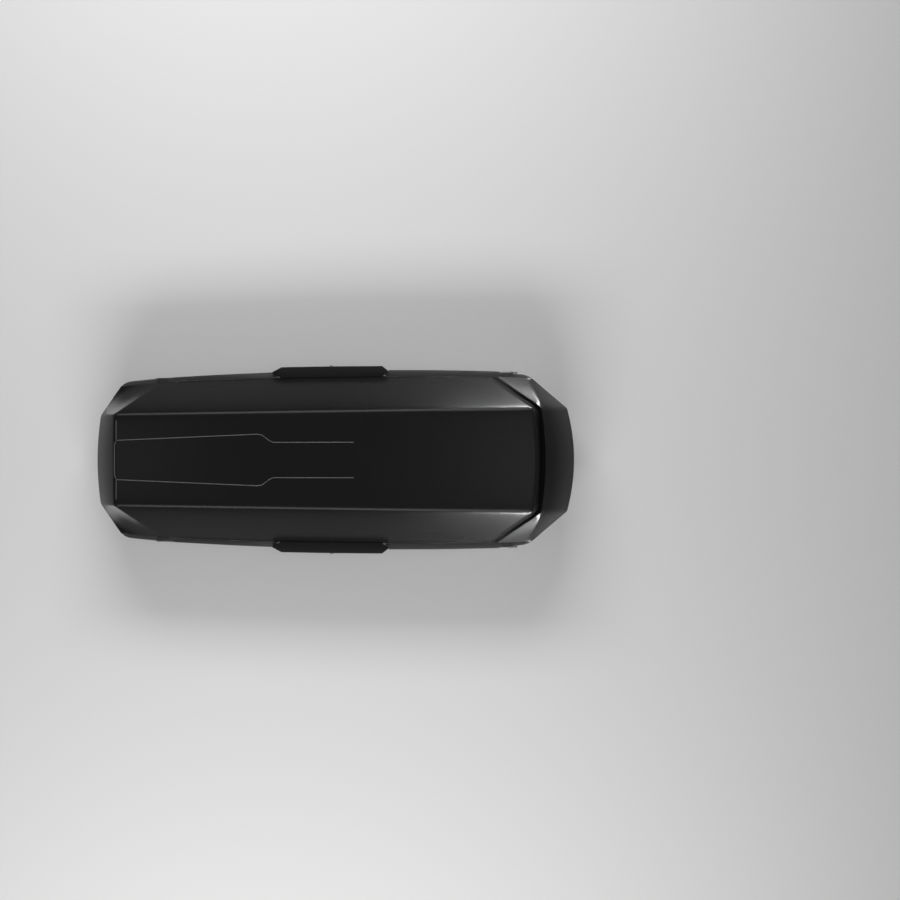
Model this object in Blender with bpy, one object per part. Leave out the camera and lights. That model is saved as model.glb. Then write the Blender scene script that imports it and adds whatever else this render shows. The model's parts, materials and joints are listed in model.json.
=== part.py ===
# Roof cargo box that opens on either side: moulded base, faceted lid, skewed side hinges, lock bars, clamps.
# Metres. +X is the nose, +Y the left side, +Z up. z = 0 is the underside of the closed clamp jaws.
import math

import bmesh
import bpy
from mathutils import Matrix, Vector

# Overall sizes
BOX_LENGTH = 2.300             # tail to nose tip
WALL = 0.004                   # sheet of the lid and the base
FIT_GAP = 0.0004               # clearance between pieces that touch
SEAT_HEIGHT = 0.062            # top of the crossbar above the jaw feet
PAD_THICKNESS = 0.005
BASE_DEPTH = 0.160             # underside of the base to its rim
SEAL_GAP = 0.006               # rim to lid edge
LID_LIP = 0.018                # upright edge of the lid

# Plan of the lid edge and of the flange that carries it, half widths measured from the centre line
FLANGE_HALF_WIDTH = 0.4335
FLANGE_SHOW = 0.0335           # flange that stands out beside the lid
LID_HALF_WIDTH = FLANGE_HALF_WIDTH - FLANGE_SHOW
LID_SIDE_BOW = 0.024           # narrowing of the side per metre squared
LID_WIDEST_X = 0.25
LID_TAIL_SET = 0.002           # tail edge of the lid inside the tail of the base
TAIL_BOW = 0.016
TAIL_INNER_Y = 0.212
TAIL_OUTER_SET = 0.117         # corner where the tail facet meets the side, from the tail
TAIL_OUTER_INSET = 0.043       # that corner inside the widest half width
TAIL_SIDE_SET = 0.315          # where the side panel starts, from the tail
GROOVE_REAR_SET = 0.416        # rear edge of the groove at the lip, from the nose tip
GROOVE_FRONT_SET = 0.372
NOSE_START_FLARE = 0.002       # nose outside the widest half width, just ahead of the groove
NOSE_OUTER_SET = 0.208
NOSE_OUTER_INSET = 0.005
NOSE_BOW = 0.034
NOSE_INNER_Y = 0.248

# Top of the lid
RIDGE_HEIGHT = 0.228           # ridge above the lid edge at its highest point
RIDGE_FALL = 0.020             # drop of the ridge per metre squared
RIDGE_PEAK_X = 0.15
CROWN = 0.008                  # rise of the top panel between the ridges
TAIL_RIDGE_SET = 0.115         # rear end of the ridge, from the tail
TAIL_RIDGE_Y = 0.216
GROOVE_RIDGE_SET = 0.208       # ridge at the rear edge of the groove, from the nose tip
GROOVE_RIDGE_Y = 0.245
GROOVE_CENTRE_SET = 0.187
GROOVE_WIDTH = 0.041           # along the centre line, at the top
GROOVE_DEPTH = 0.020
GROOVE_LIP_DEPTH = 0.004
NOSE_DROP = 0.020              # top of the nose below the top panel
BODY_BULGE = 0.012
NOSE_BULGE = 0.022

# Base
FLANGE_SIDE_BOW = 0.0286
FLANGE_WIDEST_X = 0.33
FLANGE_LIP = 0.018
FLANGE_TAIL_SET = 0.126
FLANGE_TAIL_INSET = 0.0575
FLANGE_NOSE_SET = 0.222
FLANGE_NOSE_INSET = 0.0215
FLANGE_TIP_SET = 0.003
RIM_INSET = 0.020              # inner edge of the flange inside the lid edge
FLOOR_TAIL_SET = 0.220
FLOOR_NOSE_SET = 0.390
FLOOR_CORNER = 0.090           # cut corners of the floor
FLOOR_SIDE_INSET = 0.068       # floor edge inside the lid edge
BELLY_PLAN = 0.35              # how far in and down the wall turns
BELLY_DROP = 0.62
BEAD_PITCH = 0.120
BEAD_WIDTH = 0.050
BEAD_TOP_WIDTH = 0.030
BEAD_HEIGHT = 0.006
BEAD_END_SET = 0.080           # bead end inside the floor end

# Hinges, in a frame that runs along each hinge line
HINGE_SLOPE = 0.018            # skew of the hinge line to the centre line
HINGE_CLEARANCE = 0.006        # hinge line outboard of the lid edge where they come closest
FRONT_HINGE_SET = 0.325        # middle of the front hinge, from the nose tip
REAR_HINGE_SET = 0.316         # middle of the rear hinge, from the tail
KNUCKLE_RADIUS = 0.006
KNUCKLE_HALF = 0.0255
KNUCKLE_ROOM = 0.0025          # plate and flange clear of the knuckle
PIN_RADIUS = 0.003
PIN_HEAD_RIM = 0.0015
PIN_HEAD = 0.002
BORE_CLEARANCE = 0.0004
EAR_THICKNESS = 0.006
EAR_ROOT = 0.004               # ear let into the bracket plate
EAR_SINK = 0.0005
BRACKET_PLATE = 0.004
BRACKET_HALF = 0.075
BRACKET_REACH = 0.030          # plate edge inboard of the pin
BRACKET_END_SET = 0.017        # narrowed plate ends inboard of the pin
NOTCH_ROOM = 0.0025            # flange notch clear of the pin head and of the spring
LEAF_PLATE = 0.004
TONGUE_SET = 0.046             # middle of the tongue inboard of the pin
TONGUE_THICKNESS = 0.004
TONGUE_HALF = 0.014
TONGUE_HEIGHT = 0.030          # top of the tongue above the lid edge
SPRING_RADIUS = 0.005
SPRING_WIRE = 0.002
SPRING_PITCH = 0.0027
SPRING_TURNS = 5
SPRING_PART_TURN = 0.75       # from the bracket leg round to the leg down
SPRING_LEG = 0.010
CURL_POINTS = 8

# Lock
LOCK_TRAVEL = 0.012
BAR_THICKNESS = 0.005
BAR_LOW = 0.004                # bar edges above the lid edge
BAR_HIGH = 0.020
BAR_SET = 0.056                # middle of the bar inboard of the pin line
BAR_TAIL = 0.034               # bar past the hinge stations
LOCK_PIN_RADIUS = 0.004
LOCK_PIN_GAP = 0.002           # unlocked pin clear of the tongue
LOCK_PIN_FIT = 0.0007
CHANNEL_SHEET = 0.0022
CHANNEL_FIT = 0.0008
CHANNEL_FOOT_HALF = 0.012
CHANNEL_FOOT_REAR_SET = 0.214  # outer feet from the hinge stations
CHANNEL_FOOT_FRONT_SET = 0.265
CHANNEL_INNER_FEET = (-0.26, 0.20)
CHANNEL_FOOT_GAP = 0.0012
BARREL_X = -0.020
BARREL_HEIGHT = 0.006          # lock axis above the lid edge
BARREL_RADIUS = 0.0035
BARREL_HEAD_RADIUS = 0.007
BARREL_HEAD = 0.004
LEVER_PLATE = 0.003
LEVER_HALF = 0.0042
LEVER_TIP_SHARE = 0.7          # of the half width, beside the peg
PEG_RADIUS = 0.002
PEG_FIT = 0.0007

# Grips
GRIP_REAR_TIP_X = -0.305
GRIP_REAR_X = -0.262
GRIP_FRONT_X = 0.224
GRIP_FRONT_TIP_X = 0.252
GRIP_REACH = 0.052             # outer face outboard of the lid edge
GRIP_TOP = 0.0172
GRIP_UNDERSIDE = 0.0045
GRIP_LEG = 0.0065
GRIP_LEG_DRAFT = 0.001
GRIP_CHAMFER = 0.003
GRIP_EDGE = 0.002
GRIP_GAP = 0.0005              # grip clear of the lid's lip
GRIP_SILL = 0.001
GRIP_DROP = 0.022              # finger edge below the lid edge
GRIP_FOOT = 0.010
GRIP_TIP_SHARE = 0.16
GRIP_TIP_HEIGHT = 0.5          # share of the height kept at the tips
SILL_SET = 0.0045              # sheet edge under grips and sills, outboard of the lid edge
SILL_ROOM = 0.004              # sill ends clear of the grip
GRIP_BOSS_HALF = 0.010
GRIP_BOSS_DROP = 0.004
GRIP_BOSS_SINK = 0.002

# Seal and lid stiffeners
SEAL_SET = 0.0005              # outer face of the seal inside the lid edge
SEAL_WIDTH = 0.010
BOW_POSITIONS = (-0.45, 0.45)
BOW_WIDTH = 0.030
BOW_DEPTH = 0.012
BOW_GAP = 0.0012

# Clamps and what they hold
CLAMP_XS = (0.314, -0.364)
CLAMP_INSET = 0.160            # clamp line inside the widest half width
CLAMP_TRAVEL = 0.100
JAW_WIDTH = 0.036
JAW_SIDE_GAP = 0.003
JAW_PIVOT_X = 0.044
JAW_PIVOT_Z = 0.098
JAW_OPEN = math.radians(22)
# Front jaw seen from the side, x from the middle of the clamp and z from the ground
JAW_OUTLINE = ((0.058, 0.090), (0.060, 0.035), (0.052, 0.004), (0.042, 0.0), (0.024, 0.0), (0.018, 0.007),
               (0.020, 0.021), (0.040, 0.0265), (0.044, 0.034), (0.042, 0.060), (0.034, 0.085),
               (0.012, 0.104), (0.012, 0.112), (0.036, 0.112), (0.050, 0.110), (0.057, 0.102))
PIVOT_RADIUS = 0.004
SLOT_END_ROOM = 0.003
PAD_LENGTH = 0.400
PAD_WIDTH = 0.100
PAD_HOLE_WIDTH = 0.050
RAIL_WIDTH = 0.090
RAIL_HEIGHT = 0.012
RAIL_SHEET = 0.003
RAIL_END = 0.070
HOUSING_WALL = 0.0045
HOUSING_WIDTH = 0.074
HOUSING_HEIGHT = 0.050
HOUSING_ROOF = 0.010
HOUSING_CHAMFER = 0.012
KNOB_RADIUS = 0.032
KNOB_LOBE = 0.004
KNOB_HEIGHT = 0.030
KNOB_LOBES = 3
KNOB_POINTS = 18
KNOB_RINGS = ((0.86, 0.0), (1.0, 0.2), (0.96, 0.8), (0.80, 1.0))  # share of radius, of height
STEM_RADIUS = 0.0055
STEM_LENGTH = 0.028

# Counts of the lid and base grids
SIDE_STEPS = 10
EDGE_STEPS = 3
CORNER_STEPS = 2
SILL_STEPS = 5
ROUND_POINTS = 12
MITRE_LIMIT = 0.3              # least cosine used where a sharp outline is inset

# Heights and ends that follow from the sizes above
TAIL = -BOX_LENGTH / 2
NOSE = BOX_LENGTH / 2
Z_UNDER = SEAT_HEIGHT + PAD_THICKNESS + FIT_GAP
Z_FLOOR = Z_UNDER + WALL
Z_RIM = Z_UNDER + BASE_DEPTH
Z_LID = Z_RIM + SEAL_GAP
Z_AXIS = Z_RIM - KNUCKLE_RADIUS
Z_RAIL = Z_FLOOR + FIT_GAP
Z_HOUSING = Z_RAIL + RAIL_SHEET + FIT_GAP
LID_RISE = Z_LID - Z_AXIS
SLOT_WIDTH = JAW_WIDTH + 2 * JAW_SIDE_GAP
CLAMP_Y = LID_HALF_WIDTH - CLAMP_INSET
SIDES = (("left", 1), ("right", -1))
TAIL_OUTER_Y = LID_HALF_WIDTH - TAIL_OUTER_INSET
NOSE_START_Y = LID_HALF_WIDTH + NOSE_START_FLARE
NOSE_OUTER_Y = LID_HALF_WIDTH - NOSE_OUTER_INSET
FLANGE_TAIL_Y = FLANGE_HALF_WIDTH - FLANGE_TAIL_INSET
FLANGE_NOSE_Y = FLANGE_HALF_WIDTH - FLANGE_NOSE_INSET
FRONT_HINGE_X = NOSE - FRONT_HINGE_SET
REAR_HINGE_X = TAIL + REAR_HINGE_SET
HINGE_XS = (("front", FRONT_HINGE_X), ("rear", REAR_HINGE_X))
CHANNEL_REAR_FOOT = REAR_HINGE_X + CHANNEL_FOOT_REAR_SET
CHANNEL_FRONT_FOOT = FRONT_HINGE_X - CHANNEL_FOOT_FRONT_SET
CHANNEL_FEET = (CHANNEL_REAR_FOOT, *CHANNEL_INNER_FEET, CHANNEL_FRONT_FOOT)


def clear_scene():
    for old in list(bpy.data.objects):
        bpy.data.objects.remove(old, do_unlink=True)


def make_material(name, colour, roughness, metallic=0.0):
    look = bpy.data.materials.new(name)
    look.use_nodes = True
    shader = look.node_tree.nodes["Principled BSDF"]
    shader.inputs["Base Color"].default_value = (*colour, 1.0)
    shader.inputs["Roughness"].default_value = roughness
    shader.inputs["Metallic"].default_value = metallic
    look.diffuse_color = (*colour, 1.0)
    return look


# Mesh helpers: every shape is first built in the part's own coordinates
def side_mirror(bm, side):
    if side < 0:
        bmesh.ops.scale(bm, vec=(1, -1, 1), verts=bm.verts)
        bmesh.ops.reverse_faces(bm, faces=bm.faces)


def add_object(name, bm, look=None, frame=Matrix()):
    bm.transform(frame.inverted())
    mesh = bpy.data.meshes.new(name)
    bm.to_mesh(mesh)
    bm.free()
    obj = bpy.data.objects.new(name, mesh)
    obj.matrix_world = frame
    bpy.context.scene.collection.objects.link(obj)
    if look:
        mesh.materials.append(look)
    else:
        obj.hide_render = True
        obj.display_type = 'WIRE'
    return obj


def add_boolean(obj, bm, operation):
    tool = add_object(f"{obj.name}_{operation.lower()}_{len(obj.modifiers)}", bm)
    step = obj.modifiers.new(operation.lower(), 'BOOLEAN')
    step.operation = operation
    step.solver = 'EXACT'
    step.object = tool


def shade_round(obj):
    obj.data.shade_smooth()
    obj.data.set_sharp_from_angle(angle=math.radians(35))


def add_loft(bm, rings):
    rows = [[bm.verts.new(point) for point in ring] for ring in rings]
    count = len(rows[0])
    faces = [bm.faces.new(rows[0]), bm.faces.new(rows[-1])]
    for low, high in zip(rows, rows[1:]):
        for k in range(count):
            after = (k + 1) % count
            faces.append(bm.faces.new((low[k], low[after], high[after], high[k])))
    bmesh.ops.recalc_face_normals(bm, faces=faces)


def add_prism(bm, outline, start, end, place):
    add_loft(bm, [[place(a, b, depth) for a, b in outline] for depth in (start, end)])


def add_box(bm, low, high):
    outline = ((low[0], low[1]), (high[0], low[1]), (high[0], high[1]), (low[0], high[1]))
    add_prism(bm, outline, low[2], high[2], lambda x, y, z: Vector((x, y, z)))


def circle(radius, count, centre=(0.0, 0.0), phase=0.5):
    turns = [2 * math.pi * (k + phase) / count for k in range(count)]
    return [(centre[0] + radius * math.cos(t), centre[1] + radius * math.sin(t)) for t in turns]


def rectangle(a0, b0, a1, b1):
    return [(a0, b0), (a1, b0), (a1, b1), (a0, b1)]


def upright(x, y, z):
    return Vector((x, y, z))


def across(x, z, y):
    return Vector((x, y, z))


# Curves of the plan and of the ridge
def side_edge(x):
    return LID_HALF_WIDTH - LID_SIDE_BOW * (x - LID_WIDEST_X) ** 2


def flange_edge(x):
    return FLANGE_HALF_WIDTH - FLANGE_SIDE_BOW * (x - FLANGE_WIDEST_X) ** 2


def ridge_height(x):
    return RIDGE_HEIGHT - RIDGE_FALL * (x - RIDGE_PEAK_X) ** 2


def steps(a, b, count):
    return [a + (b - a) * k / count for k in range(count + 1)]


def line_steps(p, q, count):
    return [tuple(a + (b - a) * k / count for a, b in zip(p, q)) for k in range(count + 1)]


def bowed_end(end_x, corner, count):
    # A shallow parabola across the tail or nose, from the centre line to its corner
    ys = steps(0.0, corner[1], count)
    return [(end_x + (corner[0] - end_x) * (y / corner[1]) ** 2, y) for y in ys]


def half_outline(tail_x, tail_inner, tail_outer, side, nose_start, nose_outer, nose_inner, nose_x):
    # Left half of a closed plan outline from the centre of the tail to the tip of the nose
    side_start = TAIL + TAIL_SIDE_SET
    side_end = NOSE - GROOVE_REAR_SET
    xs = steps(side_start, side_end, SIDE_STEPS)
    path = bowed_end(tail_x, tail_inner, EDGE_STEPS)
    path += line_steps(tail_inner, tail_outer, CORNER_STEPS)[1:]
    path += line_steps(tail_outer, (side_start, side(side_start)), CORNER_STEPS)[1:]
    path += [(x, side(x)) for x in xs[1:]]
    path += nose_start
    path += line_steps(nose_start[-1], nose_outer, CORNER_STEPS)[1:]
    path += line_steps(nose_outer, nose_inner, CORNER_STEPS)[1:]
    path += bowed_end(nose_x, nose_inner, EDGE_STEPS)[-2::-1]
    return path


def lid_outline(groove_depth):
    rear = NOSE - GROOVE_REAR_SET
    front = NOSE - GROOVE_FRONT_SET
    tail_x = TAIL + LID_TAIL_SET
    groove = ((rear + front) / 2, (side_edge(rear) + NOSE_START_Y) / 2 - groove_depth)
    return half_outline(
        tail_x, (tail_x + TAIL_BOW, TAIL_INNER_Y), (TAIL + TAIL_OUTER_SET, TAIL_OUTER_Y), side_edge,
        [groove, (front, NOSE_START_Y)], (NOSE - NOSE_OUTER_SET, NOSE_OUTER_Y),
        (NOSE - NOSE_BOW, NOSE_INNER_Y), NOSE)


def flange_outline():
    rear = NOSE - GROOVE_REAR_SET
    front = NOSE - GROOVE_FRONT_SET
    tip = NOSE - FLANGE_TIP_SET
    start = [(x, flange_edge(x)) for x in ((rear + front) / 2, front)]
    return half_outline(
        TAIL, (TAIL + TAIL_BOW, TAIL_INNER_Y), (TAIL + FLANGE_TAIL_SET, FLANGE_TAIL_Y), flange_edge,
        start, (NOSE - FLANGE_NOSE_SET, FLANGE_NOSE_Y), (tip - NOSE_BOW, NOSE_INNER_Y), tip)


def floor_outline():
    tail_x = TAIL + FLOOR_TAIL_SET
    nose_x = NOSE - FLOOR_NOSE_SET
    path = lid_outline(0.0)
    low = []
    for x, y in path:
        floor_x = min(max(x, tail_x), nose_x)
        corner = min(floor_x - tail_x, nose_x - floor_x, FLOOR_CORNER)
        room = side_edge(floor_x) - FLOOR_SIDE_INSET - FLOOR_CORNER + corner
        low.append((floor_x, min(y, room)))
    return low


def full_loop(half):
    return half + [(x, -y) for x, y in half[-2:0:-1]]


def inset_loop(loop, distance):
    # Moves every side of a closed outline inwards and meets the moved sides again
    moved = []
    count = len(loop)
    for k in range(count):
        before = Vector(loop[k - 1])
        here = Vector(loop[k])
        after = Vector(loop[(k + 1) % count])
        way_in = (here - before).normalized()
        way_out = (after - here).normalized()
        normal_in = Vector((way_in.y, -way_in.x))
        normal_out = Vector((way_out.y, -way_out.x))
        mitre = (normal_in + normal_out).normalized()
        shift = mitre * distance / max(mitre.dot(normal_in), MITRE_LIMIT)
        moved.append((here.x + shift.x, here.y + shift.y))
    return moved


def inset_half(half, distance):
    return inset_loop(full_loop(half), distance)[:len(half)]


# Surfaces made of patches that share their edges
def add_patch(bm, rows):
    grid = [[bm.verts.new(point) for point in row] for row in rows]
    for low, high in zip(grid, grid[1:]):
        for k in range(len(low) - 1):
            bm.faces.new((low[k], low[k + 1], high[k + 1], high[k]))


def settle_sheet(bm):
    # Welds the patches, then turns the sheet so that its broad faces look up
    bmesh.ops.remove_doubles(bm, verts=bm.verts, dist=0.00001)
    bmesh.ops.recalc_face_normals(bm, faces=bm.faces)
    if sum(face.normal.z * face.calc_area() for face in bm.faces) < 0:
        bmesh.ops.reverse_faces(bm, faces=bm.faces)


def add_sheet_modifiers(obj):
    half = obj.modifiers.new("right_half", 'MIRROR')
    half.use_axis = (False, True, False)
    half.use_clip = True
    half.merge_threshold = 0.0001
    sheet = obj.modifiers.new("sheet", 'SOLIDIFY')
    sheet.thickness = WALL
    sheet.offset = -1.0
    sheet.use_even_offset = True
    sheet.use_quality_normals = True


ROWS = (0.0, 1 / 3, 2 / 3, 1.0)


def swollen_line(top, bottom, bulge):
    # A line from the ridge to the lid edge that swells upwards in the middle
    return [top.lerp(bottom, s) + Vector((0, 0, bulge * 4 * s * (1 - s))) for s in ROWS]


def lid_edge_points():
    return [Vector((x, y, Z_LID + LID_LIP)) for x, y in lid_outline(GROOVE_LIP_DEPTH)]


def ridge_y(x):
    start = TAIL + TAIL_RIDGE_SET
    end = NOSE - GROOVE_RIDGE_SET
    return TAIL_RIDGE_Y + (GROOVE_RIDGE_Y - TAIL_RIDGE_Y) * (x - start) / (end - start)


def top_row(ridge_x, centre_x, half_y, height, crown):
    # Points across the top panel, from the centre line to the ridge
    row = []
    for t in steps(0.0, 1.0, EDGE_STEPS):
        x = centre_x + (ridge_x - centre_x) * t * t
        row.append(Vector((x, half_y * t, height + crown * (1 - t * t))))
    return row


def top_panel_rows():
    start = TAIL + TAIL_RIDGE_SET
    end = NOSE - GROOVE_RIDGE_SET
    centre_end = NOSE - GROOVE_CENTRE_SET
    rows = []
    for t in steps(0.0, 1.0, SIDE_STEPS):
        ridge_x = start + (end - start) * t
        centre_x = start + (centre_end - start) * t
        rows.append(top_row(ridge_x, centre_x, ridge_y(ridge_x), Z_LID + ridge_height(ridge_x), CROWN))
    return rows


def side_panel_lines(tops, edge):
    first = EDGE_STEPS + 2 * CORNER_STEPS
    ends = edge[first:first + SIDE_STEPS + 1]
    return [swollen_line(row[-1], end, BODY_BULGE) for row, end in zip(tops, ends)]


def add_groove(bm, rear_edge, front_edge):
    # A furrow between body and nose, shallow at the lip and full over the top
    last = len(rear_edge) - 1
    bottom = []
    for k, (a, b) in enumerate(zip(rear_edge, front_edge)):
        share = min(k / EDGE_STEPS, 1.0)
        over = k / last
        depth = GROOVE_LIP_DEPTH + (GROOVE_DEPTH - GROOVE_LIP_DEPTH) * share
        way = Vector((0, -(1 - over), -over if k else 0.0)).normalized()
        bottom.append((a + b) / 2 + way * depth)
    bottom[0] = lid_edge_points()[EDGE_STEPS + 2 * CORNER_STEPS + SIDE_STEPS + 1]
    add_patch(bm, [rear_edge, bottom, front_edge])


def build_lid(look):
    bm = bmesh.new()
    edge = lid_edge_points()
    side_first = EDGE_STEPS + 2 * CORNER_STEPS
    nose_first = side_first + SIDE_STEPS + 2
    nose_corner = nose_first + 2 * CORNER_STEPS
    tops = top_panel_rows()
    sides = side_panel_lines(tops, edge)
    add_patch(bm, tops)
    add_patch(bm, sides)
    add_patch(bm, [swollen_line(a, b, BODY_BULGE) for a, b in zip(tops[0], edge[:EDGE_STEPS + 1])])
    ridge_end = tops[0][-1]
    add_patch(bm, [swollen_line(ridge_end, b, BODY_BULGE) for b in edge[EDGE_STEPS:side_first + 1]])

    nose_ridge_x = NOSE - GROOVE_RIDGE_SET + GROOVE_WIDTH
    nose_centre_x = NOSE - GROOVE_CENTRE_SET + GROOVE_WIDTH
    nose_top = Z_LID + ridge_height(nose_ridge_x) - NOSE_DROP
    nose_row = top_row(nose_ridge_x, nose_centre_x, ridge_y(nose_ridge_x), nose_top, CROWN)
    corner_lines = [swollen_line(nose_row[-1], b, NOSE_BULGE) for b in edge[nose_first:nose_corner + 1]]
    front_ends = edge[nose_corner:][::-1]
    add_patch(bm, corner_lines)
    add_patch(bm, [swollen_line(a, b, NOSE_BULGE) for a, b in zip(nose_row, front_ends)])
    add_groove(bm, sides[-1][::-1] + tops[-1][-2::-1], corner_lines[0][::-1] + nose_row[-2::-1])

    add_patch(bm, [edge, [point - Vector((0, 0, LID_LIP)) for point in edge]])
    settle_sheet(bm)
    lid = add_object("lid_shell", bm, look)
    add_sheet_modifiers(lid)
    holes = bmesh.new()
    for _, side in SIDES:
        add_barrel_bore(holes, side, -GRIP_REACH / 2, GRIP_REACH / 2)
    add_boolean(lid, holes, 'DIFFERENCE')
    return lid


# Hinge lines: u runs along the line, v outboard from it, w up
def hinge_line_y(x):
    touch = LID_WIDEST_X - HINGE_SLOPE / (2 * LID_SIDE_BOW)
    return side_edge(touch) + HINGE_CLEARANCE + HINGE_SLOPE * (x - touch)


def hinge_frame(x, side=1):
    angle = math.atan(HINGE_SLOPE) * side
    return Matrix.Translation((x, hinge_line_y(x) * side, Z_AXIS)) @ Matrix.Rotation(angle, 4, 'Z')


def edge_offset(x):
    # Lid edge seen from the hinge line, negative inboard
    return (side_edge(x) - hinge_line_y(x)) * math.cos(math.atan(HINGE_SLOPE))


def profile_place(frame):
    return lambda v, w, u: frame @ Vector((u, v, w))


def outward_place(frame):
    return lambda u, w, v: frame @ Vector((u, v, w))


def plan_place(frame):
    return lambda u, v, w: frame @ Vector((u, v, w))


def add_station_cylinder(bm, frame, radius, start, end, count=ROUND_POINTS):
    add_prism(bm, circle(radius, count), start, end, profile_place(frame))


def bore_radius():
    return PIN_RADIUS + BORE_CLEARANCE


def ear_start():
    return KNUCKLE_HALF + FIT_GAP


def ear_end():
    return ear_start() + EAR_THICKNESS


def spring_start():
    return ear_end() + SPRING_WIRE


def spring_end():
    return spring_start() + SPRING_PITCH * (SPRING_TURNS + SPRING_PART_TURN)


def notch_start():
    return -ear_end() - FIT_GAP - PIN_HEAD - NOTCH_ROOM


def notch_end():
    return spring_end() + SPRING_WIRE + NOTCH_ROOM


def flange_under():
    # Underside of the flange, seen from the hinge line
    return KNUCKLE_RADIUS - WALL


def add_hinge_notch(bm, frame):
    inner = TONGUE_SET + TONGUE_THICKNESS
    knuckle = KNUCKLE_RADIUS + KNUCKLE_ROOM
    floor = flange_under() - FIT_GAP
    deep = -FLANGE_LIP - KNUCKLE_RADIUS
    outline = [(-inner, floor), (-knuckle, floor), (-knuckle, deep), (inner, deep), (inner, inner)]
    outline.append((-inner, inner))
    add_prism(bm, outline, notch_start(), notch_end(), profile_place(frame))


def build_bracket(name, frame, side, look):
    top = flange_under() - FIT_GAP
    knuckle = KNUCKLE_RADIUS + KNUCKLE_ROOM
    plate = bmesh.new()
    shoulder = ear_end() + EAR_THICKNESS
    half = BRACKET_HALF
    outline = [(-half, -BRACKET_REACH), (half, -BRACKET_REACH), (half, -BRACKET_END_SET),
               (shoulder, -knuckle), (-shoulder, -knuckle), (-half, -BRACKET_END_SET)]
    add_prism(plate, outline, top - BRACKET_PLATE, top, plan_place(frame))
    side_mirror(plate, side)
    bracket = add_object(name, plate, look)
    ears = bmesh.new()
    root = -knuckle - EAR_ROOT
    slant = KNUCKLE_RADIUS * math.sqrt(0.5)
    ear = [(root, top - BRACKET_PLATE + EAR_SINK), (0.0, -KNUCKLE_RADIUS), (KNUCKLE_RADIUS, 0.0)]
    ear += [(slant, slant), (0.0, KNUCKLE_RADIUS), (-slant, slant), (root, top - EAR_SINK)]
    for sign in (1, -1):
        add_prism(ears, ear, sign * ear_start(), sign * ear_end(), profile_place(frame))
    side_mirror(ears, side)
    add_boolean(bracket, ears, 'UNION')
    bore = bmesh.new()
    add_station_cylinder(bore, frame, bore_radius(), -2 * ear_end(), 2 * ear_end())
    side_mirror(bore, side)
    add_boolean(bracket, bore, 'DIFFERENCE')


def build_hinge_pin(name, frame, side, look):
    bm = bmesh.new()
    head_end = -ear_end() - FIT_GAP
    head_radius = PIN_RADIUS + PIN_HEAD_RIM
    rings = []
    for radius, u in ((head_radius, head_end - PIN_HEAD), (head_radius, head_end), (PIN_RADIUS, head_end),
                      (PIN_RADIUS, spring_end() + SPRING_WIRE)):
        rings.append([frame @ Vector((u, v, w)) for v, w in circle(radius, ROUND_POINTS)])
    add_loft(bm, rings)
    side_mirror(bm, side)
    shade_round(add_object(name, bm, look))


def spring_path():
    # Torsion spring: a straight leg under the bracket, the coil, then a leg down
    start = -math.pi / 2
    count = round(CURL_POINTS * (SPRING_TURNS + SPRING_PART_TURN))
    path = [(spring_start(), -SPRING_LEG, -SPRING_RADIUS)]
    for k in range(count + 1):
        turn = k / CURL_POINTS
        angle = start + 2 * math.pi * turn
        u = spring_start() + SPRING_PITCH * turn
        path.append((u, SPRING_RADIUS * math.cos(angle), SPRING_RADIUS * math.sin(angle)))
    path.append((spring_end(), -SPRING_RADIUS, -SPRING_LEG))
    return path


def build_spring(name, frame, side, look):
    curve = bpy.data.curves.new(name, 'CURVE')
    curve.dimensions = '3D'
    curve.bevel_depth = SPRING_WIRE / 2
    curve.bevel_resolution = 1
    curve.use_fill_caps = True
    path = [Vector((u, v * side, w)) for u, v, w in spring_path()]
    spline = curve.splines.new('POLY')
    spline.points.add(len(path) - 1)
    for point, place in zip(spline.points, path):
        point.co = (*place, 1.0)
    curve.materials.append(look)
    obj = bpy.data.objects.new(name, curve)
    obj.matrix_world = frame
    bpy.context.scene.collection.objects.link(obj)


def print_spring_gap():
    # Least distance between turns of the coil, measured on the points of its centre line
    coil = [Vector(point) for point in spring_path()[1:-1]]
    half_turn = CURL_POINTS // 2
    least = min((a - b).length for i, a in enumerate(coil) for b in coil[i + half_turn + 1:])
    print(f"hinge spring: least gap between turns {1000 * (least - SPRING_WIRE):.2f} mm")


def lock_axis_height():
    # Middle of the lock bar above the hinge line
    return LID_RISE + (BAR_LOW + BAR_HIGH) / 2


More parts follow.
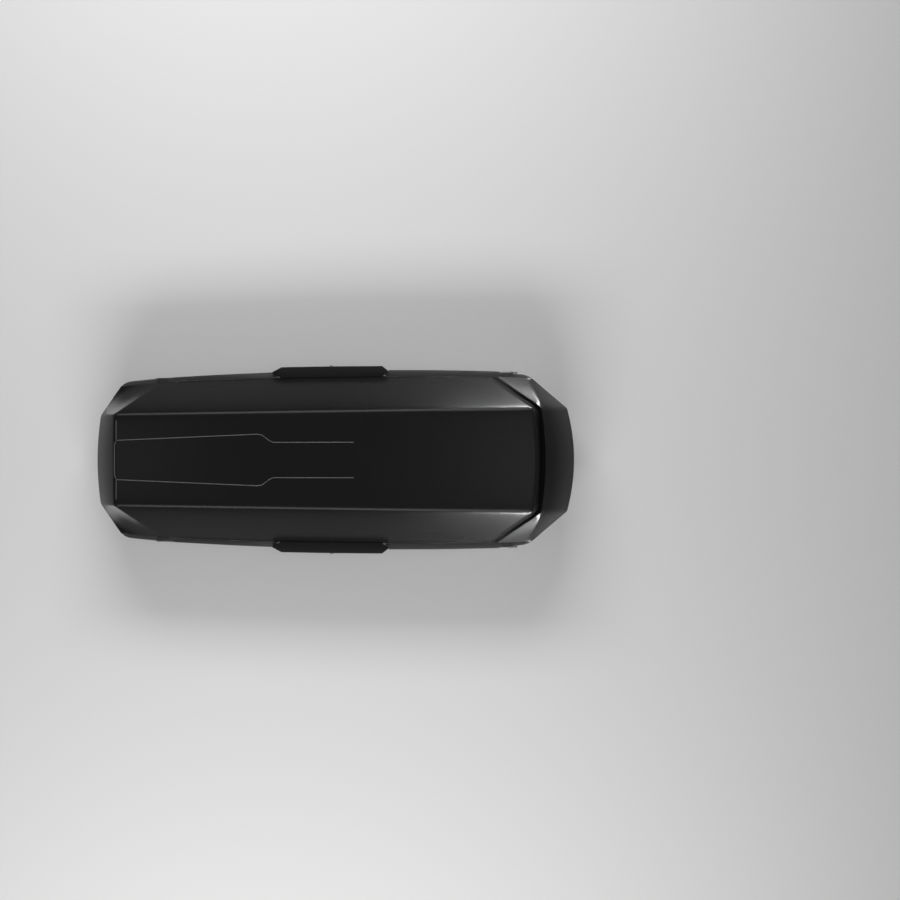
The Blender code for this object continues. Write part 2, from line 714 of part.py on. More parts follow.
def build_leaf(name, frame, mirrored_frame, side, look):
    bm = bmesh.new()
    low = KNUCKLE_RADIUS - LEAF_PLATE
    first = math.pi - math.asin(low / KNUCKLE_RADIUS)
    arc = steps(first, 2.5 * math.pi, ROUND_POINTS - 4)
    outline = [(KNUCKLE_RADIUS * math.cos(t), KNUCKLE_RADIUS * math.sin(t)) for t in arc]
    outline += [(-TONGUE_SET, KNUCKLE_RADIUS), (-TONGUE_SET, low)]
    add_prism(bm, outline, -KNUCKLE_HALF, KNUCKLE_HALF, profile_place(frame))
    side_mirror(bm, side)
    leaf = add_object(name, bm, look, mirrored_frame)
    middle = lock_axis_height()
    half = LOCK_PIN_RADIUS + LOCK_PIN_FIT
    depth = LOCK_TRAVEL - LOCK_PIN_GAP + LOCK_PIN_FIT
    top = LID_RISE + TONGUE_HEIGHT
    tongue = [(-TONGUE_HALF, low), (TONGUE_HALF, low), (TONGUE_HALF, top), (-TONGUE_HALF, top),
              (-TONGUE_HALF, middle + half), (depth - TONGUE_HALF, middle + half),
              (depth - TONGUE_HALF, middle - half), (-TONGUE_HALF, middle - half)]
    plate = bmesh.new()
    outer = -TONGUE_SET + TONGUE_THICKNESS / 2
    add_prism(plate, tongue, outer - TONGUE_THICKNESS, outer, outward_place(frame))
    side_mirror(plate, side)
    add_boolean(leaf, plate, 'UNION')
    bore = bmesh.new()
    add_station_cylinder(bore, frame, bore_radius(), -2 * KNUCKLE_HALF, 2 * KNUCKLE_HALF)
    side_mirror(bore, side)
    add_boolean(leaf, bore, 'DIFFERENCE')


# Lock: a barrel in the grip turns a lever whose peg slides a long bar inside the lid
def lever_radius():
    # A quarter turn of the lever carries the peg through the travel of the bar
    return LOCK_TRAVEL / math.sqrt(2)


def barrel_axis_height():
    return LID_RISE + BARREL_HEIGHT


def bar_middle_height():
    return barrel_axis_height() + LOCK_TRAVEL / 2


def add_barrel_bore(bm, side, start, end):
    frame = hinge_frame(BARREL_X)
    edge = edge_offset(BARREL_X)
    hole = circle(BARREL_RADIUS + BORE_CLEARANCE, ROUND_POINTS, (0.0, barrel_axis_height()))
    part = bmesh.new()
    add_prism(part, hole, edge + start, edge + end, outward_place(frame))
    side_mirror(part, side)
    merge_bmesh(bm, part)


def merge_bmesh(bm, other):
    mesh = bpy.data.meshes.new("scratch")
    other.to_mesh(mesh)
    other.free()
    bm.from_mesh(mesh)
    bpy.data.meshes.remove(mesh)


def build_lock_bar(name, side, look):
    frame = hinge_frame(0.0)
    turn = math.cos(math.atan(HINGE_SLOPE))
    inner = -BAR_SET - BAR_THICKNESS / 2
    outer = -BAR_SET + BAR_THICKNESS / 2
    low = LID_RISE + BAR_LOW
    high = LID_RISE + BAR_HIGH
    bm = bmesh.new()
    outline = rectangle(REAR_HINGE_X / turn - BAR_TAIL, low, FRONT_HINGE_X / turn + BAR_TAIL / 2, high)
    add_prism(bm, outline, inner, outer, outward_place(frame))
    side_mirror(bm, side)
    bar = add_object(name, bm, look)
    pins = bmesh.new()
    for _, x in HINGE_XS:
        u = x / turn - TONGUE_HALF - LOCK_PIN_GAP - LOCK_PIN_RADIUS
        pin = circle(LOCK_PIN_RADIUS, ROUND_POINTS, (u, lock_axis_height()))
        add_prism(pins, pin, -BAR_SET, -TONGUE_SET + TONGUE_THICKNESS / 2, outward_place(frame))
    side_mirror(pins, side)
    add_boolean(bar, pins, 'UNION')
    slot = bmesh.new()
    u = BARREL_X / turn - LOCK_TRAVEL / 2
    room = PEG_RADIUS + PEG_FIT
    rise = lever_radius() - LOCK_TRAVEL / 2
    outline = rectangle(u - room, bar_middle_height() - room, u + room, bar_middle_height() + rise + room)
    add_prism(slot, outline, inner - WALL, outer + WALL, outward_place(frame))
    side_mirror(slot, side)
    add_boolean(bar, slot, 'DIFFERENCE')


def build_lock_channel(name, side, look):
    # A C section round the bar, open outboard, with feet that reach the lip of the lid
    frame = hinge_frame(0.0)
    turn = math.cos(math.atan(HINGE_SLOPE))
    back = -BAR_SET - BAR_THICKNESS / 2 - CHANNEL_FIT
    mouth = -BAR_SET + BAR_THICKNESS / 2 + CHANNEL_FIT
    floor = LID_RISE + BAR_LOW - CHANNEL_FIT
    roof = LID_RISE + BAR_HIGH + CHANNEL_FIT
    section = [(mouth, floor - CHANNEL_SHEET), (mouth, floor), (back, floor), (back, roof), (mouth, roof),
               (mouth, roof + CHANNEL_SHEET), (back - CHANNEL_SHEET, roof + CHANNEL_SHEET),
               (back - CHANNEL_SHEET, floor - CHANNEL_SHEET)]
    bm = bmesh.new()
    add_prism(bm, section, REAR_HINGE_X / turn, FRONT_HINGE_X / turn, profile_place(frame))
    side_mirror(bm, side)
    channel = add_object(name, bm, look)
    feet = bmesh.new()
    for x in CHANNEL_FEET:
        lip = edge_offset(x) - WALL - CHANNEL_FOOT_GAP
        foot = rectangle(back, floor - CHANNEL_SHEET, lip, floor)
        u = x / turn
        add_prism(feet, foot, u - CHANNEL_FOOT_HALF, u + CHANNEL_FOOT_HALF, profile_place(frame))
    side_mirror(feet, side)
    add_boolean(channel, feet, 'UNION')


def build_barrel(name, side, look):
    frame = hinge_frame(BARREL_X)
    edge = edge_offset(BARREL_X)
    height = barrel_axis_height()
    face = edge + GRIP_REACH + FIT_GAP
    lever_in = -BAR_SET + BAR_THICKNESS / 2 + FIT_GAP + CHANNEL_FIT
    lever_out = lever_in + LEVER_PLATE
    bm = bmesh.new()
    rings = []
    for radius, v in ((BARREL_HEAD_RADIUS, face + BARREL_HEAD), (BARREL_HEAD_RADIUS, face),
                      (BARREL_RADIUS, face), (BARREL_RADIUS, lever_in + LEVER_PLATE / 2)):
        rings.append([frame @ Vector((u, v, w)) for u, w in circle(radius, ROUND_POINTS, (0.0, height))])
    add_loft(bm, rings)
    side_mirror(bm, side)
    axis = Matrix.Translation((0, 0, height))
    barrel = add_object(name, bm, look, hinge_frame(BARREL_X, side) @ axis)
    peg = (-LOCK_TRAVEL / 2, height + LOCK_TRAVEL / 2)
    lever_tip = LEVER_HALF * LEVER_TIP_SHARE
    lever = [(0.0, height - LEVER_HALF), (LEVER_HALF, height), (LEVER_HALF / 2, height + LEVER_HALF),
             (peg[0] + LEVER_HALF / 2, peg[1] + lever_tip), (peg[0] - lever_tip, peg[1])]
    arm = bmesh.new()
    add_prism(arm, lever, lever_in, lever_out, outward_place(frame))
    side_mirror(arm, side)
    add_boolean(barrel, arm, 'UNION')
    tip = bmesh.new()
    add_prism(tip, circle(PEG_RADIUS, 8, peg), -BAR_SET - BAR_THICKNESS / 4, lever_in + LEVER_PLATE / 2,
              outward_place(frame))
    side_mirror(tip, side)
    add_boolean(barrel, tip, 'UNION')
    shade_round(barrel)


# Grips
def grip_section():
    outer = GRIP_REACH
    leg = outer - GRIP_LEG
    return [(GRIP_GAP, GRIP_SILL), (GRIP_GAP, GRIP_TOP), (outer - GRIP_CHAMFER, GRIP_TOP),
            (outer, GRIP_TOP - GRIP_CHAMFER), (outer, GRIP_EDGE - GRIP_DROP),
            (leg + GRIP_LEG_DRAFT, -GRIP_DROP), (leg, GRIP_UNDERSIDE), (GRIP_FOOT, GRIP_UNDERSIDE)]


def grip_ring(x, share):
    middle_out = GRIP_REACH / 2
    middle_up = (GRIP_TOP + GRIP_UNDERSIDE) / 2
    ring = []
    for out, up in grip_section():
        wide = middle_out + (out - middle_out) * share
        high = middle_up + (up - middle_up) * max(share, GRIP_TIP_HEIGHT)
        ring.append(Vector((x, side_edge(x) + wide, Z_LID + high)))
    return ring


def build_grip(name, side, look):
    bm = bmesh.new()
    rings = [grip_ring(GRIP_REAR_TIP_X, GRIP_TIP_SHARE)]
    rings += [grip_ring(x, 1.0) for x in steps(GRIP_REAR_X, GRIP_FRONT_X, 4)]
    rings.append(grip_ring(GRIP_FRONT_TIP_X, GRIP_TIP_SHARE))
    add_loft(bm, rings)
    side_mirror(bm, side)
    grip = add_object(name, bm, look)
    frame = hinge_frame(BARREL_X)
    edge = edge_offset(BARREL_X)
    boss = bmesh.new()
    low = LID_RISE - GRIP_BOSS_DROP
    high = LID_RISE + GRIP_UNDERSIDE + GRIP_BOSS_SINK
    outline = rectangle(edge + GRIP_FOOT, low, edge + GRIP_REACH - GRIP_LEG / 2, high)
    add_prism(boss, outline, -GRIP_BOSS_HALF, GRIP_BOSS_HALF, profile_place(frame))
    side_mirror(boss, side)
    add_boolean(grip, boss, 'UNION')
    bore = bmesh.new()
    add_barrel_bore(bore, side, -GRIP_FOOT, GRIP_REACH + GRIP_FOOT)
    add_boolean(grip, bore, 'DIFFERENCE')


# Sills: trim strips that carry the flange on from the hinges to the grips
def sill_line(x):
    return side_edge(x) + SILL_SET


def sill_hinge_end(end_name):
    if end_name == "rear":
        return REAR_HINGE_X + notch_end()
    return FRONT_HINGE_X + notch_start()


def add_sill_notch(bm, side):
    start = sill_hinge_end("rear") - NOTCH_ROOM
    end = sill_hinge_end("front") + NOTCH_ROOM
    outline = [(x, sill_line(x)) for x in steps(start, end, SIDE_STEPS)]
    outer = FLANGE_HALF_WIDTH + GRIP_REACH
    outline += [(end, outer), (start, outer)]
    part = bmesh.new()
    add_prism(part, outline, Z_RIM - 2 * FLANGE_LIP, Z_RIM + FLANGE_LIP, upright)
    side_mirror(part, side)
    merge_bmesh(bm, part)


def sill_ring(inner_x, outer_x):
    inner = sill_line(inner_x) + FIT_GAP
    outer = flange_edge(outer_x)
    lip = outer - WALL
    under = Z_RIM - WALL
    foot = Z_RIM - FLANGE_LIP
    return [Vector((inner_x, inner, under)), Vector((inner_x, inner, Z_RIM)),
            Vector((outer_x, outer, Z_RIM)), Vector((outer_x, outer, foot)),
            Vector((outer_x, lip, foot)), Vector((outer_x, lip, under))]


def build_sill(name, end_name, side, look):
    # The strip's end beside the grip is cut slanting, along the grip's tapered tip
    if end_name == "rear":
        tip, full, room = GRIP_REAR_TIP_X, GRIP_REAR_X, -SILL_ROOM
    else:
        tip, full, room = GRIP_FRONT_TIP_X, GRIP_FRONT_X, SILL_ROOM
    tip_inner = GRIP_REACH / 2 - (GRIP_REACH / 2 - GRIP_GAP) * GRIP_TIP_SHARE
    share = (tip_inner - SILL_SET) / (tip_inner - GRIP_GAP)
    slant_x = tip + (full - tip) * share + room
    xs = steps(sill_hinge_end(end_name), tip + room, SILL_STEPS)
    rings = [sill_ring(x, x) for x in xs[:-1]] + [sill_ring(slant_x, xs[-1])]
    bm = bmesh.new()
    add_loft(bm, rings)
    side_mirror(bm, side)
    add_object(name, bm, look)


# Seal and stiffeners of the lid
def build_seal(look):
    outline = full_loop(lid_outline(GROOVE_LIP_DEPTH))
    outer = inset_loop(outline, SEAL_SET)
    inner = inset_loop(outline, SEAL_SET + SEAL_WIDTH)
    low = Z_RIM + FIT_GAP
    high = Z_LID - FIT_GAP
    bm = bmesh.new()
    rows = []
    for loop, z in ((outer, low), (outer, high), (inner, high), (inner, low)):
        rows.append([bm.verts.new((x, y, z)) for x, y in loop])
    count = len(outline)
    for ring, following in zip(rows, rows[1:] + rows[:1]):
        for k in range(count):
            after = (k + 1) % count
            bm.faces.new((ring[k], ring[after], following[after], following[k]))
    bmesh.ops.recalc_face_normals(bm, faces=bm.faces)
    add_object("lid_seal", bm, look)


def lid_section(x):
    # Half section of the outer lid surface across the box at x, from the centre line down the side
    tops = top_panel_rows()
    sides = side_panel_lines(tops, lid_edge_points())
    lines = [row + line[1:-1] for row, line in zip(tops, sides)]
    section = []
    for rail in zip(*lines):
        for a, b in zip(rail, rail[1:]):
            if a.x <= x <= b.x:
                point = a.lerp(b, (x - a.x) / (b.x - a.x))
                section.append((point.y, point.z))
                break
    return section


def build_bow(name, x, look):
    half = lid_section(x)
    loop = [(-y, z) for y, z in half[:0:-1]] + half
    outer = offset_line(loop, WALL + BOW_GAP)
    inner = offset_line(loop, WALL + BOW_GAP + BOW_DEPTH)
    outline = outer + inner[::-1]
    bm = bmesh.new()
    rows = [[bm.verts.new((px, y, z)) for y, z in outline] for px in (x - BOW_WIDTH / 2, x + BOW_WIDTH / 2)]
    count = len(outline)
    span = len(outer)
    for k in range(count):
        after = (k + 1) % count
        bm.faces.new((rows[0][k], rows[0][after], rows[1][after], rows[1][k]))
    for row in rows:
        for k in range(span - 1):
            bm.faces.new((row[k], row[k + 1], row[count - 2 - k], row[count - 1 - k]))
    bmesh.ops.recalc_face_normals(bm, faces=bm.faces)
    add_object(name, bm, look)


def offset_line(line, distance):
    # Moves an open section line downwards by a distance measured square to it
    moved = []
    for k, point in enumerate(line):
        ways = []
        if k:
            ways.append((Vector(point) - Vector(line[k - 1])).normalized())
        if k < len(line) - 1:
            ways.append((Vector(line[k + 1]) - Vector(point)).normalized())
        normals = [Vector((way.y, -way.x)) for way in ways]
        mitre = sum(normals, Vector((0, 0))).normalized()
        shift = mitre * distance / mitre.dot(normals[0])
        moved.append((point[0] + shift.x, point[1] + shift.y))
    return moved


# Base: a wall with its flange all round, and a beaded floor panel that closes it
def build_base(look):
    bm = bmesh.new()
    flange = flange_outline()
    rim = inset_half(lid_outline(0.0), RIM_INSET)
    floor = floor_outline()
    belly = []
    for (rim_x, rim_y), (floor_x, floor_y) in zip(rim, floor):
        belly.append((rim_x + (floor_x - rim_x) * BELLY_PLAN, rim_y + (floor_y - rim_y) * BELLY_PLAN))
    z_belly = Z_RIM + (Z_FLOOR - Z_RIM) * BELLY_DROP
    rows = [(flange, Z_RIM - FLANGE_LIP), (flange, Z_RIM), (rim, Z_RIM), (belly, z_belly), (floor, Z_FLOOR)]
    add_patch(bm, [[Vector((x, y, z)) for x, y in path] for path, z in rows])
    settle_sheet(bm)
    base = add_object("base_shell", bm, look)
    add_sheet_modifiers(base)
    cuts = bmesh.new()
    for _, side in SIDES:
        for _, x in HINGE_XS:
            part = bmesh.new()
            add_hinge_notch(part, hinge_frame(x))
            side_mirror(part, side)
            merge_bmesh(cuts, part)
    add_boolean(base, cuts, 'DIFFERENCE')
    cuts = bmesh.new()
    for _, side in SIDES:
        add_sill_notch(cuts, side)
    add_boolean(base, cuts, 'DIFFERENCE')


def add_bead(bm, y, inset, bottom, top):
    # A long swage with slanting sides: a straight foot, then a taper up to its narrower top
    start = TAIL + FLOOR_TAIL_SET + BEAD_END_SET + inset
    end = NOSE - FLOOR_NOSE_SET - BEAD_END_SET - inset
    taper = (BEAD_WIDTH - BEAD_TOP_WIDTH) / 2
    half = BEAD_WIDTH / 2 - inset
    low = rectangle(start, y - half, end, y + half)
    high = rectangle(start + taper, y - half + taper, end - taper, y + half - taper)
    add_loft(bm, [[Vector((px, py, z)) for px, py in outline] for outline, z in
                  ((low, bottom), (low, top), (high, top + BEAD_HEIGHT))])


def build_floor_panel(look):
    floor = floor_outline()
    corners = [point for k, point in enumerate(floor) if k == 0 or math.dist(point, floor[k - 1]) > FIT_GAP]
    bm = bmesh.new()
    add_prism(bm, inset_loop(full_loop(corners), FIT_GAP), Z_UNDER, Z_FLOOR, upright)
    panel = add_object("floor_panel", bm, look)
    beads = bmesh.new()
    cuts = bmesh.new()
    for y in (-BEAD_PITCH, 0.0, BEAD_PITCH):
        add_bead(beads, y, 0.0, Z_FLOOR - WALL / 2, Z_FLOOR)
        add_bead(cuts, y, WALL / 2, Z_UNDER - WALL, Z_UNDER)
    add_boolean(panel, beads, 'UNION')
    for _, side in SIDES:
        for x in CLAMP_XS:
            add_slot(cuts, x, CLAMP_Y * side, Z_UNDER - WALL, Z_FLOOR + WALL)
    add_boolean(panel, cuts, 'DIFFERENCE')


# Clamps
def jaw_reach(z_low, z_high):
    # Furthest the outer side of the jaw swings between two heights as it opens
    reach = 0.0
    for angle in steps(0.0, JAW_OPEN, 8):
        turned = []
        for x, z in JAW_OUTLINE:
            dx = x - JAW_PIVOT_X
            dz = z - JAW_PIVOT_Z
            turned.append((JAW_PIVOT_X + dx * math.cos(angle) - dz * math.sin(angle),
                           JAW_PIVOT_Z + dx * math.sin(angle) + dz * math.cos(angle)))
        for a, b in zip(turned, turned[1:] + turned[:1]):
            for x, z in line_steps(a, b, 24):
                if z_low <= z <= z_high:
                    reach = max(reach, x)
    return reach


def slot_half():
    return CLAMP_TRAVEL + jaw_reach(SEAT_HEIGHT, Z_HOUSING) + SLOT_END_ROOM


def add_slot(bm, x, y, low, high, width=SLOT_WIDTH):
    half = slot_half()
    add_box(bm, (x - half, y - width / 2, low), (x + half, y + width / 2, high))


def build_pad(name, x, y, look):
    bm = bmesh.new()
    top = SEAT_HEIGHT + PAD_THICKNESS
    half_length = PAD_LENGTH / 2
    half_width = PAD_WIDTH / 2
    add_box(bm, (x - half_length, y - half_width, SEAT_HEIGHT), (x + half_length, y + half_width, top))
    pad = add_object(name, bm, look)
    hole = bmesh.new()
    add_slot(hole, x, y, SEAT_HEIGHT - WALL, top + WALL, PAD_HOLE_WIDTH)
    add_boolean(pad, hole, 'DIFFERENCE')


def build_rail(name, y, look):
    start = min(CLAMP_XS) - slot_half() - RAIL_END
    end = max(CLAMP_XS) + slot_half() + RAIL_END
    half = RAIL_WIDTH / 2
    inner = half - RAIL_SHEET
    floor = Z_RAIL + RAIL_SHEET
    top = Z_RAIL + RAIL_HEIGHT
    section = [(-half, Z_RAIL), (half, Z_RAIL), (half, top), (inner, top), (inner, floor), (-inner, floor),
               (-inner, top), (-half, top)]
    bm = bmesh.new()
    add_prism(bm, section, start, end, lambda a, b, depth: Vector((depth, y + a, b)))
    rail = add_object(name, bm, look)
    slots = bmesh.new()
    for x in CLAMP_XS:
        add_slot(slots, x, y, Z_RAIL - WALL, floor + WALL)
    add_boolean(rail, slots, 'DIFFERENCE')


def housing_cavity_half():
    return jaw_reach(Z_HOUSING, Z_HOUSING + HOUSING_HEIGHT) + SLOT_END_ROOM


def build_housing(name, x, y, look):
    half = housing_cavity_half() + HOUSING_WALL
    top = Z_HOUSING + HOUSING_HEIGHT
    shoulder = top - HOUSING_CHAMFER
    outline = [(-half, Z_HOUSING), (half, Z_HOUSING), (half, shoulder), (half - HOUSING_CHAMFER, top),
               (HOUSING_CHAMFER - half, top), (-half, shoulder)]
    frame = Matrix.Translation((x, y, Z_HOUSING))
    bm = bmesh.new()
    add_prism(bm, [(x + a, b) for a, b in outline], y - HOUSING_WIDTH / 2, y + HOUSING_WIDTH / 2, across)
    housing = add_object(name, bm, look, frame)
    cavity = bmesh.new()
    inside = housing_cavity_half()
    depth = JAW_WIDTH / 2 + JAW_SIDE_GAP
    roof = top - HOUSING_ROOF
    hollow = [(-inside, Z_HOUSING - WALL), (inside, Z_HOUSING - WALL), (inside, shoulder - WALL),
              (inside - HOUSING_CHAMFER, roof), (HOUSING_CHAMFER - inside, roof), (-inside, shoulder - WALL)]
    add_prism(cavity, [(x + a, b) for a, b in hollow], y - depth, y + depth, across)
    add_boolean(housing, cavity, 'DIFFERENCE')
    stem = bmesh.new()
    hole = circle(STEM_RADIUS + BORE_CLEARANCE, ROUND_POINTS, (x, y))
    add_prism(stem, hole, roof - WALL, top + WALL, upright)
    add_boolean(housing, stem, 'DIFFERENCE')
    pivots = bmesh.new()
    grip = depth + (HOUSING_WIDTH / 2 - depth) / 2
    for sign in (1, -1):
        pivot = circle(PIVOT_RADIUS, ROUND_POINTS, (x + sign * JAW_PIVOT_X, JAW_PIVOT_Z))
        add_prism(pivots, pivot, y - grip, y + grip, across)
    add_boolean(housing, pivots, 'UNION')


def build_knob(name, x, y, look):
    z = Z_HOUSING + HOUSING_HEIGHT + FIT_GAP
    turns = [2 * math.pi * k / KNOB_POINTS for k in range(KNOB_POINTS)]
    bm = bmesh.new()
    rings = []
    for height in (z - STEM_LENGTH, z):
        rings.append([Vector((a, b, height)) for a, b in circle(STEM_RADIUS, KNOB_POINTS, (x, y), 0.0)])
    for share, up in KNOB_RINGS:
        ring = []
        for t in turns:
            radius = share * (KNOB_RADIUS + KNOB_LOBE * math.cos(KNOB_LOBES * t))
            ring.append(Vector((x + radius * math.cos(t), y + radius * math.sin(t), z + up * KNOB_HEIGHT)))
        rings.append(ring)
    add_loft(bm, rings)
    shade_round(add_object(name, bm, look, Matrix.Translation((x, y, z))))


def build_jaw(name, x, y, sign, look):
    pivot = Matrix.Translation((x + sign * JAW_PIVOT_X, y, JAW_PIVOT_Z))
    bm = bmesh.new()
    outline = [(x + sign * a, b) for a, b in JAW_OUTLINE]
    add_prism(bm, outline, y - JAW_WIDTH / 2, y + JAW_WIDTH / 2, across)
    jaw = add_object(name, bm, look, pivot)
    bore = bmesh.new()
    hole = circle(PIVOT_RADIUS + BORE_CLEARANCE, ROUND_POINTS, (x + sign * JAW_PIVOT_X, JAW_PIVOT_Z))
    add_prism(bore, hole, y - JAW_WIDTH, y + JAW_WIDTH, across)
    add_boolean(jaw, bore, 'DIFFERENCE')


def build_hinges(steel, spring_steel):
    for side_name, side in SIDES:
        for end_name, x in HINGE_XS:
            name = f"{end_name}_{side_name}_hinge"
            frame = hinge_frame(x)
            mirrored = hinge_frame(x, side)
            build_bracket(f"{name}_bracket", frame, side, steel)
            build_hinge_pin(f"{name}_pin", frame, side, steel)
            build_spring(f"{name}_spring", mirrored, side, spring_steel)
            build_leaf(f"{name}_leaf", frame, mirrored, side, steel)
    print_spring_gap()


def build_clamps(rubber, steel, plastic, knob_plastic):
    for side_name, side in SIDES:
        y = CLAMP_Y * side
        build_rail(f"{side_name}_floor_rail", y, steel)
        for end_name, x in zip(("front", "rear"), CLAMP_XS):
            name = f"{end_name}_{side_name}"
            build_pad(f"{name}_crossbar_pad", x, y, rubber)
            build_housing(f"{name}_clamp_housing", x, y, plastic)
            build_knob(f"{name}_clamp_knob", x, y, knob_plastic)
            build_jaw(f"{name}_clamp_front_jaw", x, y, 1, steel)
            build_jaw(f"{name}_clamp_rear_jaw", x, y, -1, steel)


def main():
    clear_scene()
    gloss = make_material("gloss_black_sheet", (0.012, 0.012, 0.013), 0.18)
    satin = make_material("satin_black_sheet", (0.018, 0.018, 0.019), 0.42)
    matte = make_material("matte_black_grip", (0.010, 0.010, 0.010), 0.60)
    rubber = make_material("black_rubber", (0.020, 0.020, 0.020), 0.80)
    steel = make_material("zinc_steel", (0.42, 0.42, 0.43), 0.35, 1.0)
    spring_steel = make_material("spring_steel", (0.30, 0.30, 0.31), 0.30, 1.0)
    coated = make_material("coated_steel", (0.05, 0.05, 0.05), 0.45, 0.6)
    plastic = make_material("grey_nylon", (0.06, 0.06, 0.065), 0.50)
    build_base(satin)
    build_floor_panel(satin)
    build_lid(gloss)
    build_seal(rubber)
    for name, x in zip(("rear_lid_bow", "front_lid_bow"), BOW_POSITIONS):
        build_bow(name, x, coated)
    for side_name, side in SIDES:
        for end_name in ("front", "rear"):
            build_sill(f"{end_name}_{side_name}_sill", end_name, side, satin)
        build_grip(f"{side_name}_grip", side, matte)
        build_lock_channel(f"{side_name}_lock_channel", side, coated)
        build_lock_bar(f"{side_name}_lock_bar", side, steel)
        build_barrel(f"{side_name}_lock_barrel", side, steel)
    build_hinges(steel, spring_steel)
    build_clamps(rubber, coated, plastic, matte)


main()
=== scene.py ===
# Looks of the roof cargo box: gloss lid, grained base, grips, hinges, locks and clamps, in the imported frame
import json
import math

import bmesh
import bpy
import numpy as np
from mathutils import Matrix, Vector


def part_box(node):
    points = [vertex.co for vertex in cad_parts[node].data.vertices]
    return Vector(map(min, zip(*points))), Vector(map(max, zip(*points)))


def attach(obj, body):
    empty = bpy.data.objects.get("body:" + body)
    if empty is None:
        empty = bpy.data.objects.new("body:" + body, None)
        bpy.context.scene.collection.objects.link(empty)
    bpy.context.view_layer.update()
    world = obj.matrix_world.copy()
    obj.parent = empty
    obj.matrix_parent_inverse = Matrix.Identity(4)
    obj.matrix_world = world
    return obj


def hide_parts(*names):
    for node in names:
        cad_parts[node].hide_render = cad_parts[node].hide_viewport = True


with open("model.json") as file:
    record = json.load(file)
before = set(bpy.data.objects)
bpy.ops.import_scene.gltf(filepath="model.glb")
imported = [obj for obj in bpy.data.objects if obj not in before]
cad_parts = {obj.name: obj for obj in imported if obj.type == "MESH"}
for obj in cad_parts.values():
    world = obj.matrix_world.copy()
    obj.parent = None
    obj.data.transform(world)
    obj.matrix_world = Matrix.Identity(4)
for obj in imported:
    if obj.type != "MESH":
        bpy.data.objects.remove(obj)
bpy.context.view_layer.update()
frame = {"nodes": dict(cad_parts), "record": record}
bodies = frame["record"]["behaviour"]["bodies"]
nodeBody = {node: body for body, nodes in bodies.items() for node in nodes}
nodeSlot = {part["node"]: part["material_slot"] for part in frame["record"]["subparts"]}
print("frame loaded:", len(frame["nodes"]), "nodes")

# the photograph looks straight down: one pixel is 4.83 mm on the plane of the rim
photo = dict(pixel=0.00483, size=900, centreX=0.551, centreY=0.047, distance=9.0, sensor=36.0)


def addCamera():
    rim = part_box("base_shell")[1].z
    data = bpy.data.cameras.new("topCamera")
    data.sensor_width = photo["sensor"]
    data.lens = photo["sensor"] * photo["distance"] / (photo["pixel"] * photo["size"])
    camera = bpy.data.objects.new("topCamera", data)
    camera.location = (photo["centreX"], photo["centreY"], rim + photo["distance"])
    bpy.context.scene.collection.objects.link(camera)
    bpy.context.scene.camera = camera


addCamera()


# mesh helpers: whole arrays in, one object out
weldDistance = 1e-5


def gridFaces(rows, columns, first=0, closed=False):
    # quads of a grid numbered row by row; closed joins the last column to the first
    across = np.arange(columns if closed else columns - 1)
    r, c = np.meshgrid(np.arange(rows - 1), across, indexing="ij")
    after = (c + 1) % columns
    row, nextRow = r * columns, (r + 1) * columns
    quads = np.stack([row + c, row + after, nextRow + after, nextRow + c], axis=-1)
    return quads.reshape(-1, 4) + first


def makeObject(name, points, faces, recalc=False):
    mesh = bpy.data.meshes.new(name)
    mesh.from_pydata(np.asarray(points, float).reshape(-1, 3), [], [tuple(face) for face in faces])
    bm = bmesh.new()
    bm.from_mesh(mesh)
    bmesh.ops.remove_doubles(bm, verts=bm.verts, dist=weldDistance)
    if recalc:
        bmesh.ops.recalc_face_normals(bm, faces=bm.faces)
    bm.to_mesh(mesh)
    bm.free()
    piece = bpy.data.objects.new(name, mesh)
    bpy.context.scene.collection.objects.link(piece)
    return piece


def smooth(piece, angle):
    piece.data.shade_smooth()
    piece.data.set_sharp_from_angle(angle=math.radians(angle))


def addModifier(piece, kind, **settings):
    step = piece.modifiers.new(kind.lower(), kind)
    for key, value in settings.items():
        setattr(step, key, value)


def addMirror(piece):
    # the left half joined to its image on the right
    addModifier(piece, "MIRROR", use_axis=(False, True, False), use_clip=True, merge_threshold=0.0001)


def bake(piece):
    # the modifiers' result becomes the mesh, and the modifiers go
    graph = bpy.context.evaluated_depsgraph_get()
    mesh = bpy.data.meshes.new_from_object(piece.evaluated_get(graph))
    piece.modifiers.clear()
    piece.data = mesh


dressed = []


def dress(piece, body, slot, material, *nodes):
    piece.data.materials.clear()
    piece.data.materials.append(material)
    dressed.append(piece)
    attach(piece, body)
    if nodes:
        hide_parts(*nodes)


# materials: shared effects are groups that give out values only
def newGroup(name, inputs, outputs):
    group = bpy.data.node_groups.new(name, "ShaderNodeTree")
    for label, kind, value in inputs:
        socket = group.interface.new_socket(label, in_out="INPUT", socket_type=kind)
        socket.default_value = value
    for label, kind in outputs:
        group.interface.new_socket(label, in_out="OUTPUT", socket_type=kind)
    return group, group.nodes.new("NodeGroupInput"), group.nodes.new("NodeGroupOutput")


def addNode(tree, kind, **settings):
    node = tree.nodes.new(kind)
    for key, value in settings.items():
        if key in node.inputs:
            node.inputs[key].default_value = value
        else:
            setattr(node, key, value)
    return node


def mathNode(tree, operation, a, b, clamp=False):
    node = tree.nodes.new("ShaderNodeMath")
    node.operation = operation
    node.use_clamp = clamp
    for socket, value in zip(node.inputs, (a, b)):
        if isinstance(value, (int, float)):
            socket.default_value = value
        else:
            tree.links.new(value, socket)
    return node.outputs[0]


grainShape = dict(scale=400.0, breakUp=0.5, breakScale=0.6, breakDetail=4.0, mottleScale=9.0, mottleDetail=3.0)


